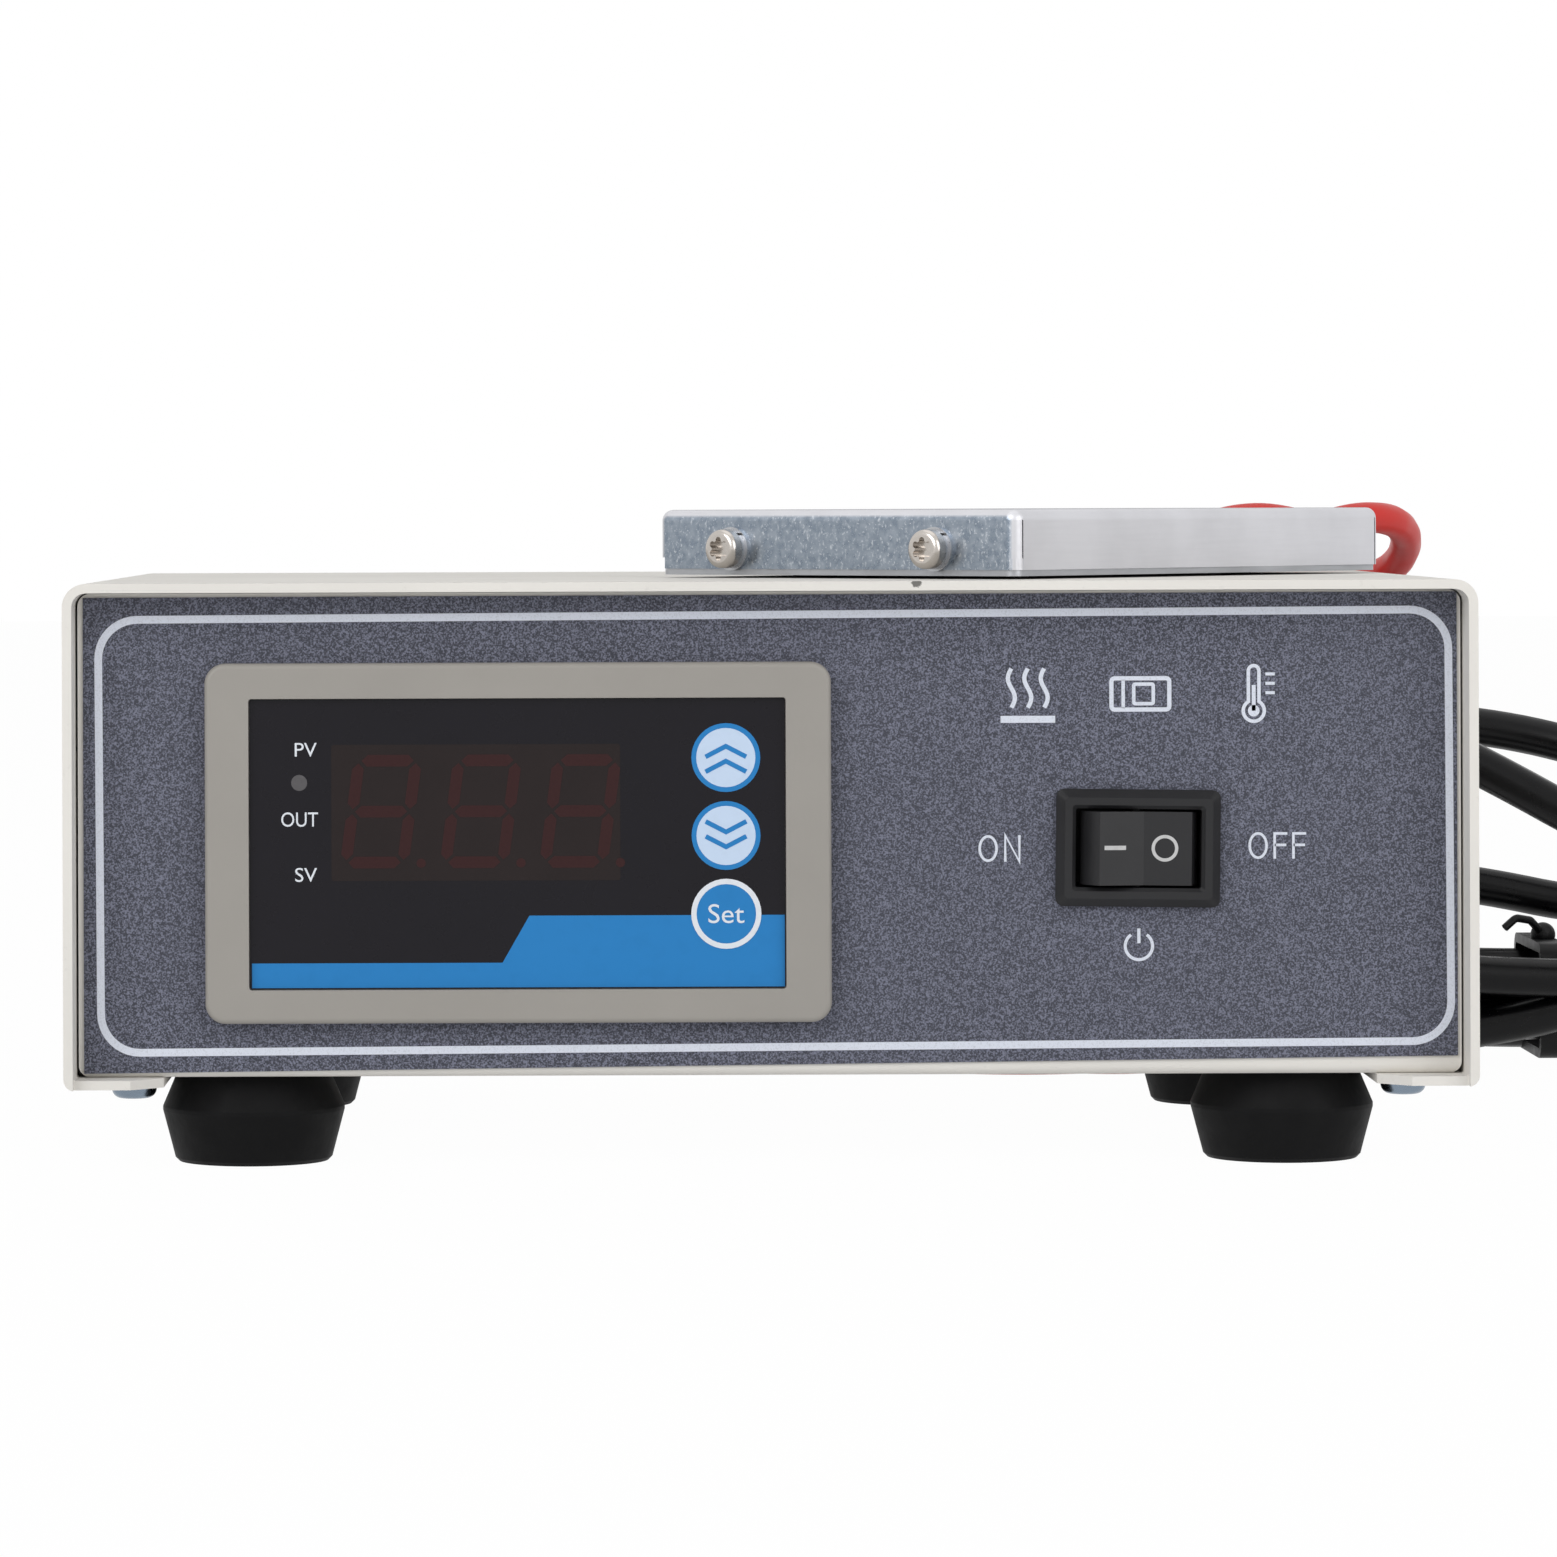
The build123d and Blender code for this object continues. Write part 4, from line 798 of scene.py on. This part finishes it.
class SLIDEWARMER_OT_mains_cord(bpy.types.Operator):
    """Lay the black mains cord from its boot through the tied hank to the plug"""

    bl_idname = "slide_warmer.mains_cord"
    bl_label = "Mains Cord"

    def hank(self):
        """Turns between two round ends, pinched where the tie holds them."""
        centre_x, centre_y = HANK_CENTRE
        points = []
        for index, (radius, height, waist) in enumerate(HANK_TURNS):
            following = HANK_TURNS[min(index + 1, len(HANK_TURNS) - 1)]
            rise = following[1] - height
            for angle in LEFT_FOLD:
                place = math.radians(angle)
                x = -HANK_LOBE_X + radius * math.cos(place)
                points.append((centre_x + x, centre_y + radius * math.sin(place), height))
            points.append((centre_x, centre_y + waist, height))
            for step, angle in enumerate(RIGHT_FOLD):
                place = math.radians(angle)
                x = HANK_LOBE_X + radius * math.cos(place)
                lift = rise * max(0, step - 2) / 3
                points.append((centre_x + x, centre_y + radius * math.sin(place), height + lift))
            if index < len(HANK_TURNS) - 1:
                points.append((centre_x, centre_y - following[2], following[1]))
        return points

    def execute(self, context):
        black = srgb(18, 18, 20)
        dark = srgb(8, 8, 10)
        rubber = moulded("cord_rubber", dark, 0.3, 0.7, 0.02, 0.1, 0.2)
        points = MAINS_ROUTE + HANK_ENTRY + self.hank() + MAINS_END_ROUTE
        cord = add_cord("mains_cord_flex", points, MAINS_DIAMETER, rubber)
        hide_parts("mains_cord", "mains_hank", "mains_cord_end")
        dress(moulded("plug_rubber", black, 0.4, 0.6, 0.03, shine=0.22), "mains_plug")
        dress(bright_metal("pin_brass", srgb(214, 190, 130), 0.28), "plug_pins")
        dress(moulded("tie_plastic", srgb(18, 18, 19), 0.45, shine=0.2), "hank_tie")
        dress(moulded("gland_plastic", srgb(20, 20, 21), 0.5, shine=0.2), "mains_gland")
        return {"FINISHED"}


class SLIDEWARMER_OT_housing(bpy.types.Operator):
    """Enamel the cover and the chassis, and finish the feet and the screws"""

    bl_idname = "slide_warmer.housing"
    bl_label = "Housing"

    def execute(self, context):
        colour = tuple(settings().cover_colour)
        dress(cover_enamel(colour, True), "cover")
        dress(cover_enamel(shade(colour, 0.97), False), "chassis")
        rubber = moulded("foot_rubber", srgb(14, 14, 15), 0.6, 0.8, 0.05, shine=0.12)
        sides = ("front_left", "front_right", "rear_left", "rear_right")
        dress(rubber, *[f"foot_{side}" for side in sides])
        zinc = bright_metal("screw_zinc", srgb(128, 141, 155), 0.26)
        dress(zinc, "cover_screws", "foot_screws", "foot_nuts", "bracket_screws")
        return {"FINISHED"}


class SLIDEWARMER_OT_label(bpy.types.Operator):
    """Print the front label: its border line, the switch's words and three plain signs"""

    bl_idname = "slide_warmer.label"
    bl_label = "Front Label"

    # Thin letters, each by its middle, width, height and line

    def letter_o(self, x, z, width, height, line):
        points = [
            (x + a * (width - line) / 2, z + b * (height - line) / 2)
            for a, b in circle(0, 0, 1.0, 32)
        ]
        return ribbon(points, line, True)

    def letter_n(self, x, z, width, height, line):
        left, right = x - width / 2 + line / 2, x + width / 2 - line / 2
        low, high = z - height / 2, z + height / 2
        return ribbon([(left, low), (left, high), (right, low), (right, high)], line)

    def letter_f(self, x, z, width, height, line):
        left, right = x - width / 2 + line / 2, x + width / 2
        low, high = z - height / 2, z + height / 2 - line / 2
        stem = ribbon([(left, low), (left, high), (right, high)], line)
        middle = z + height * 0.02
        return stem + ribbon([(left, middle), (right - width * 0.08, middle)], line)

    def words(self):
        """ON and OFF in thin strokes beside the switch."""
        shapes = self.letter_o(27.95, ON_Z, 2.5, 3.45, WORD_LINE)
        shapes += self.letter_n(31.05, ON_Z, 2.15, 3.4, WORD_LINE)
        shapes += self.letter_o(62.5, OFF_Z, 2.5, 3.45, WORD_LINE)
        for x in (65.35, 67.75):
            shapes += self.letter_f(x, OFF_Z, 1.8, 3.4, WORD_LINE)
        return shapes

    def wave(self, x, z, height, sway, line):
        """One line of rising heat."""
        points = [
            (x + sway * math.sin(math.tau * step / 12), z + height * step / 12)
            for step in range(13)
        ]
        return ribbon(points, line)

    def signs(self):
        """A heated plate, a specimen slide and a thermometer."""
        line, thin = 0.55, 0.45
        slide_z, bulb_x, bulb_z = 60.5, 62.0, 58.3
        shapes = ribbon([(29.6, 57.3), (36.6, 57.3)], 0.9)
        for x in (31.0, 33.1, 35.2):
            shapes += self.wave(x, 58.8, 5.0, 0.45, line)
        shapes += ribbon(rounded_box(47.5, slide_z, 7.4, 4.0, 0.4, 3), line, True)
        shapes += ribbon(rounded_box(47.9, slide_z, 2.5, 2.5, 0.2, 3), thin, True)
        shapes += ribbon([(45.3, 58.7), (45.3, 62.3)], thin)
        tube = circle(bulb_x, bulb_z, 1.35, 24, 120, 300)
        tube += circle(bulb_x, 63.4, 0.68, 10, 0, 180)
        shapes += ribbon(tube, thin, True)
        shapes.append(circle(bulb_x, bulb_z, 0.75, 20))
        shapes += ribbon([(bulb_x, bulb_z), (bulb_x, 61.6)], 0.5)
        for step in range(3):
            shapes += ribbon([(63.5, 60.6 + 1.2 * step), (64.7, 60.6 + 1.2 * step)], 0.4)
        return shapes

    def power_sign(self):
        """A broken ring with a stroke in its gap."""
        shapes = ribbon(circle(47.2, 28.25, 1.75, 30, 125, 290), 0.4)
        return shapes + ribbon([(47.2, 28.6), (47.2, 30.5)], 0.42)

    def execute(self, context):
        choice = settings()
        dress(label_plastic(tuple(choice.label_colour)), "front_label")
        ink = worn_print("label_ink", tuple(choice.ink_colour), 0.34, 0.2)
        y = LABEL_Y - PRINT_LIFT
        middle = (BORDER_LONG / 2, BORDER_HIGH / 2)
        square = rounded_box(*middle, BORDER_LONG, BORDER_HIGH, BORDER_RADIUS, 10)
        unit = [(x / BORDER_LONG, z / BORDER_HIGH) for x, z in square]
        border = slanted(unit, BORDER_CORNERS)
        width = choice.border_width / MM
        add_print("label_border", ribbon(border, width, True), y, ink)
        for name in ("words", "signs", "power_sign"):
            add_print(f"label_{name}", getattr(self, name)(), y, ink)
        return {"FINISHED"}


class SLIDEWARMER_OT_controller(bpy.types.Operator):
    """Finish the temperature controller: bezel, printed film, display and keys"""

    bl_idname = "slide_warmer.controller"
    bl_label = "Controller"

    def digit(self, x, z):
        """The seven bars of an unlit figure eight and its point, leaning right."""
        half_w, half_h, bar, cut = 3.65, 6.5, 1.5, 0.16
        shapes = []
        for side_x in (-1, 1):
            for low, high in ((-half_h, 0), (0, half_h)):
                cx = side_x * half_w
                lo, hi = low + cut + bar / 2, high - cut - bar / 2
                shapes.append(
                    [
                        (cx - bar / 2, lo + bar * 0.1),
                        (cx, lo - bar * 0.4),
                        (cx + bar / 2, lo + bar * 0.1),
                        (cx + bar / 2, hi - bar * 0.1),
                        (cx, hi + bar * 0.4),
                        (cx - bar / 2, hi - bar * 0.1),
                    ]
                )
        for cz in (-half_h, 0, half_h):
            lo, hi = -half_w + cut + bar / 2, half_w - cut - bar / 2
            shapes.append(
                [
                    (lo - bar * 0.4, cz),
                    (lo + bar * 0.1, cz - bar / 2),
                    (hi - bar * 0.1, cz - bar / 2),
                    (hi + bar * 0.4, cz),
                    (hi - bar * 0.1, cz + bar / 2),
                    (lo + bar * 0.1, cz + bar / 2),
                ]
            )
        lean = math.tan(math.radians(7.5))
        shapes = [[(x + a + b * lean, z + b) for a, b in shape] for shape in shapes]
        return shapes + [circle(x + 5.1, z - half_h - 0.1, 0.6, 18)]

    def chevrons(self, x, z, way):
        """A key's two arrow heads, up or down."""
        shapes = []
        for lift in (-0.95, 0.95):
            points = [(x - 2.6, z + way * (lift - 0.85)), (x, z + way * (lift + 0.5))]
            points.append((x + 2.6, z + way * (lift - 0.85)))
            shapes += ribbon(points, 0.6)
        return shapes

    def execute(self, context):
        choice = settings()
        grey = tuple(choice.bezel_colour)
        dress(moulded("bezel_plastic", grey, 0.5, 0.5, 0.02, 0.03), "controller_bezel")
        film = moulded("film_print", srgb(22, 20, 26), 0.3, 1.2, 0.01, 0.05, 0.2)
        dress(film, "controller_film")
        black = srgb(30, 30, 32)
        case = moulded("case_plastic", black, 0.5)
        dress(case, "controller_case", "panel_clip_left", "panel_clip_right")
        dress(moulded("strip_plastic", srgb(28, 28, 28), 0.5), "terminal_strip")
        dress(moulded("board_laminate", srgb(34, 92, 52), 0.35), "display_board")
        dress(moulded("display_plastic", srgb(40, 38, 36), 0.3), "display_module")
        dress(moulded("lamp_plastic", srgb(150, 60, 54), 0.25), "indicator_lamp")
        for key in ("up", "down", "set"):
            dress(moulded(f"key_black_{key}", black, 0.5), f"key_switch_{key}")
            white = moulded(f"key_white_{key}", srgb(225, 225, 218), 0.45)
            dress(white, f"key_plunger_{key}")
        self.add_prints(choice)
        return {"FINISHED"}

    def add_prints(self, choice):
        y = FILM_Y - PRINT_LIFT
        blue = worn_print("band_ink", tuple(choice.band_colour), 0.06, 2.0)
        white = worn_print("film_white_ink", srgb(232, 237, 244), 0.08, 0.8)
        pale = worn_print("key_pale_ink", srgb(205, 224, 248), 0.06, 1.5)
        window = display_window(srgb(36, 28, 28))
        unlit = worn_print("digit_unlit", srgb(47, 16, 17), 0.25, 0.5)
        lamp = worn_print("lamp_window", srgb(92, 90, 92), 0.15, 0.6)
        add_print("film_band", [BAND_LOW, BAND_HIGH], y, blue)
        box = rounded_box(DISPLAY_X, DISPLAY_Z, DISPLAY_WIDE, DISPLAY_HIGH, 0.3, 3)
        add_print("film_display_window", [box], y, window)
        digits = []
        for x in DIGIT_PLACES:
            digits += self.digit(x, DIGIT_Z)
        add_print("film_digits", digits, y - PRINT_LIFT, unlit)
        dot = circle(LAMP_X, LAMP_Z, LAMP_RADIUS)
        add_print("film_lamp", [dot], y, lamp)
        words = lettering("PV", -60.65, -57.85, 52.9, 54.65)
        words += lettering("OUT", -62.4, -57.7, 43.95, 45.8)
        words += lettering("SV", -60.65, -57.85, 36.9, 38.7)
        add_print("film_words", words, y, white)
        self.add_keys(y, blue, white, pale)

    def add_keys(self, y, blue, white, pale):
        top = y - PRINT_LIFT
        for key, way in (("up", 1), ("down", -1)):
            z = KEY_Z[key]
            ring = [circle(KEY_X, z, KEY_RING_RADIUS)]
            add_print(f"key_{key}_ring", ring, y, blue)
            face = [circle(KEY_X, z, KEY_FACE_RADIUS)]
            add_print(f"key_{key}_face", face, top, pale)
            arrows = self.chevrons(KEY_X, z, way)
            add_print(f"key_{key}_arrows", arrows, top - PRINT_LIFT, blue)
        z = KEY_Z["set"]
        face = [circle(KEY_X, z, SET_FACE_RADIUS)]
        add_print("key_set_face", face, top, blue)
        top -= PRINT_LIFT
        ring = ribbon(circle(KEY_X, z, SET_RING_RADIUS), SET_RING_LINE, True)
        add_print("key_set_ring", ring, top, white)
        word = lettering("Set", KEY_X - 2.3, KEY_X + 2.3, z - 1.2, z + 1.25)
        add_print("key_set_word", word, top, white)


class SLIDEWARMER_OT_switch(bpy.types.Operator):
    """Finish the rocker switch and mark its two ends"""

    bl_idname = "slide_warmer.switch"
    bl_label = "Rocker Switch"

    def add_frame(self, material):
        """The bevelled frame round a wide mouth, and its body behind the panel."""
        # Width, height, corner radius and how proud of the label
        rings = (
            (21.0, 15.0, 1.0, 0.0),
            (21.0, 15.0, 1.0, 0.9),
            (18.9, 12.9, 0.6, 2.0),
            (17.0, 11.0, 0.4, 2.0),
            (16.1, 10.1, 0.3, 1.5),
            (16.1, 10.1, 0.3, -11.0),
        )
        shell = ((18.8, 12.6, 0.4, -14.0), (18.8, 12.6, 0.4, 0.0))
        seat = switch_seat()
        vertices, faces, count = [], [], 0
        for width, height, corner, proud in (*shell, *rings):
            loop = rounded_box(0, 0, width, height, corner, 4)
            vertices += [seat @ Vector((x * MM, -proud * MM, z * MM)) for x, z in loop]
            count = len(loop)
        turns = len(shell) + len(rings)
        for ring in range(turns - 1):
            for step in range(count):
                after = (step + 1) % count
                low, high = ring * count, (ring + 1) * count
                faces.append((low + step, high + step, high + after, low + after))
        last = (turns - 1) * count
        faces.append(tuple(range(last, last + count)))
        faces.append(tuple(reversed(range(count))))
        frame_piece = add_mesh("switch_bezel", vertices, faces, material, BODY)
        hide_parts("switch_frame")

    def execute(self, context):
        plastic = moulded("switch_plastic", srgb(36, 36, 38), 0.42, 0.5, 0.03, shine=0.3)
        self.add_frame(plastic)
        rocker = moulded("rocker_plastic", srgb(40, 40, 42), 0.38, 0.4, 0.02, shine=0.3)
        dress(rocker, "rocker")
        dress(bright_metal("terminal_metal", srgb(206, 186, 140), 0.3), "switch_terminals")
        ink = worn_print("rocker_ink", srgb(205, 205, 205), 0.12, 0.6)
        seat = (
            Matrix.Translation((SWITCH_X * MM, 0, SWITCH_Z * MM))
            @ Matrix.Rotation(math.radians(SWITCH_TURN), 4, "Y")
            @ Matrix.Translation((0, SWITCH_PIVOT_Y * MM, 0))
            @ Matrix.Rotation(math.radians(ROCKER_SWING), 4, "Z")
            @ Matrix.Translation((0, -ROCKER_VALLEY * MM, 0))
        )
        for name, side, shapes in (
            ("rocker_dash", -1, ribbon([(-5.5, 0.1), (-2.5, 0.1)], 0.55)),
            ("rocker_ring", 1, ribbon(circle(2.7, 0.05, 1.5), 0.42, True)),
        ):
            slope = Matrix.Rotation(math.radians(-side * ROCKER_SWING), 4, "Z")
            place = seat @ slope
            add_print(name, shapes, -PRINT_LIFT, ink, "rocker", place)
        return {"FINISHED"}


class SLIDEWARMER_OT_heated_stage(bpy.types.Operator):
    """Finish the heated stage, its screws, washers, pads and what it holds"""

    bl_idname = "slide_warmer.heated_stage"
    bl_label = "Heated Stage"

    def add_corner(self, material):
        """The folded tongue that closes the foot of the pan's front corner."""
        inner_x, inner_y, low, high = -40.98, -28.48, 76.3, 77.82
        edge_x, edge_y = PAN_END_X + PAN_BEND, PAN_SIDE_Y + PAN_BEND
        outline = [(inner_x, inner_y), (PAN_END_X, inner_y)]
        outline += circle(edge_x, edge_y, PAN_BEND, 6, 180, 90.0) + [(inner_x, PAN_SIDE_Y)]
        turn = Matrix.Rotation(math.radians(STAGE_TURN), 4, "Z")
        seat = Matrix.Translation((STAGE_X * MM, STAGE_Y * MM, 0)) @ turn
        rings = [seat @ Vector((x * MM, y * MM, z * MM)) for z in (low, high) for x, y in outline]
        count = len(outline)
        faces = [tuple(reversed(range(count))), tuple(range(count, 2 * count))]
        for step in range(count):
            after = (step + 1) % count
            faces.append((step, after, count + after, count + step))
        add_mesh("stage_corner", rings, faces, material, BODY)

    def execute(self, context):
        aluminium = stage_aluminium(srgb(206, 206, 210))
        dress(aluminium, "stage_pan")
        self.add_corner(aluminium)
        steel = bright_metal("base_steel", srgb(170, 172, 176), 0.4, (0.05, 1, 1), 0.5, STAGE_TURN)
        dress(steel, "stage_base")
        dress(bright_metal("stage_screw_steel", srgb(196, 190, 184), 0.2), "stage_screws")
        dress(bright_metal("washer_steel", srgb(190, 192, 196), 0.3), "stage_washers")
        dress(moulded("heater_silicone", srgb(196, 92, 60), 0.6), "heater_mat")
        board = moulded("insulation_board", srgb(206, 196, 170), 0.9, 1.2, 0.1, 0.1)
        dress(board, "insulation_board")
        dress(bright_metal("sensor_steel", srgb(190, 190, 190), 0.3), "temperature_sensor")
        rubber = moulded("stage_rubber", srgb(40, 40, 41), 0.6)
        dress(rubber, "lead_bush", "stage_pads")
        return {"FINISHED"}


class SLIDEWARMER_OT_works(bpy.types.Operator):
    """Finish what the box holds inside and on its rear"""

    bl_idname = "slide_warmer.works"
    bl_label = "Works and Rear"

    def execute(self, context):
        dress(laminated("core_steel", srgb(84, 84, 88)), "transformer_core")
        dress(wound_tape("coil_tape", srgb(214, 178, 70)), "transformer_coil")
        dress(bright_metal("bracket_steel", srgb(176, 178, 180), 0.35), "transformer_bracket")
        dress(moulded("block_plastic", srgb(226, 224, 214), 0.5), "terminal_block")
        dress(bright_metal("earth_brass", srgb(208, 178, 110), 0.3), "earth_stud")
        black = srgb(30, 30, 31)
        dress(moulded("fuse_plastic", black, 0.4), "fuse_holder", "fuse_cap")
        dress(moulded("lead_gland_nylon", srgb(38, 38, 39), 0.45), "lead_gland")
        return {"FINISHED"}


class SLIDEWARMER_PT_panel(bpy.types.Panel):
    """Lists the slide warmer's settings and its pieces"""

    bl_idname = "SLIDEWARMER_PT_panel"
    bl_label = "Slide Warmer"
    bl_space_type = "VIEW_3D"
    bl_region_type = "UI"
    bl_category = "Slide Warmer"

    def draw(self, context):
        layout = self.layout
        for group in (context.scene.slide_warmer, context.scene.slide_warmer_studio):
            column = layout.column()
            for name in group.__annotations__:
                column.prop(group, name)
        column = layout.column()
        for operator in STEPS:
            column.operator(operator.bl_idname)


GROUPS = (SlideWarmerSettings, SlideWarmerStudio)
STEPS = (
    SLIDEWARMER_OT_studio,
    SLIDEWARMER_OT_stage_lead,
    SLIDEWARMER_OT_mains_cord,
    SLIDEWARMER_OT_housing,
    SLIDEWARMER_OT_label,
    SLIDEWARMER_OT_controller,
    SLIDEWARMER_OT_switch,
    SLIDEWARMER_OT_heated_stage,
    SLIDEWARMER_OT_works,
)


def register():
    for item in (*GROUPS, *STEPS, SLIDEWARMER_PT_panel):
        bpy.utils.register_class(item)
    bpy.types.Scene.slide_warmer = bpy.props.PointerProperty(type=SlideWarmerSettings)
    bpy.types.Scene.slide_warmer_studio = bpy.props.PointerProperty(type=SlideWarmerStudio)


def unregister():
    del bpy.types.Scene.slide_warmer_studio
    del bpy.types.Scene.slide_warmer
    for item in reversed((*GROUPS, *STEPS, SLIDEWARMER_PT_panel)):
        bpy.utils.unregister_class(item)


def main():
    """Makes every piece through its operator."""
    register()
    for step in STEPS:
        group, name = step.bl_idname.split(".")
        getattr(getattr(bpy.ops, group), name)()


if __name__ == "__main__":
    main()
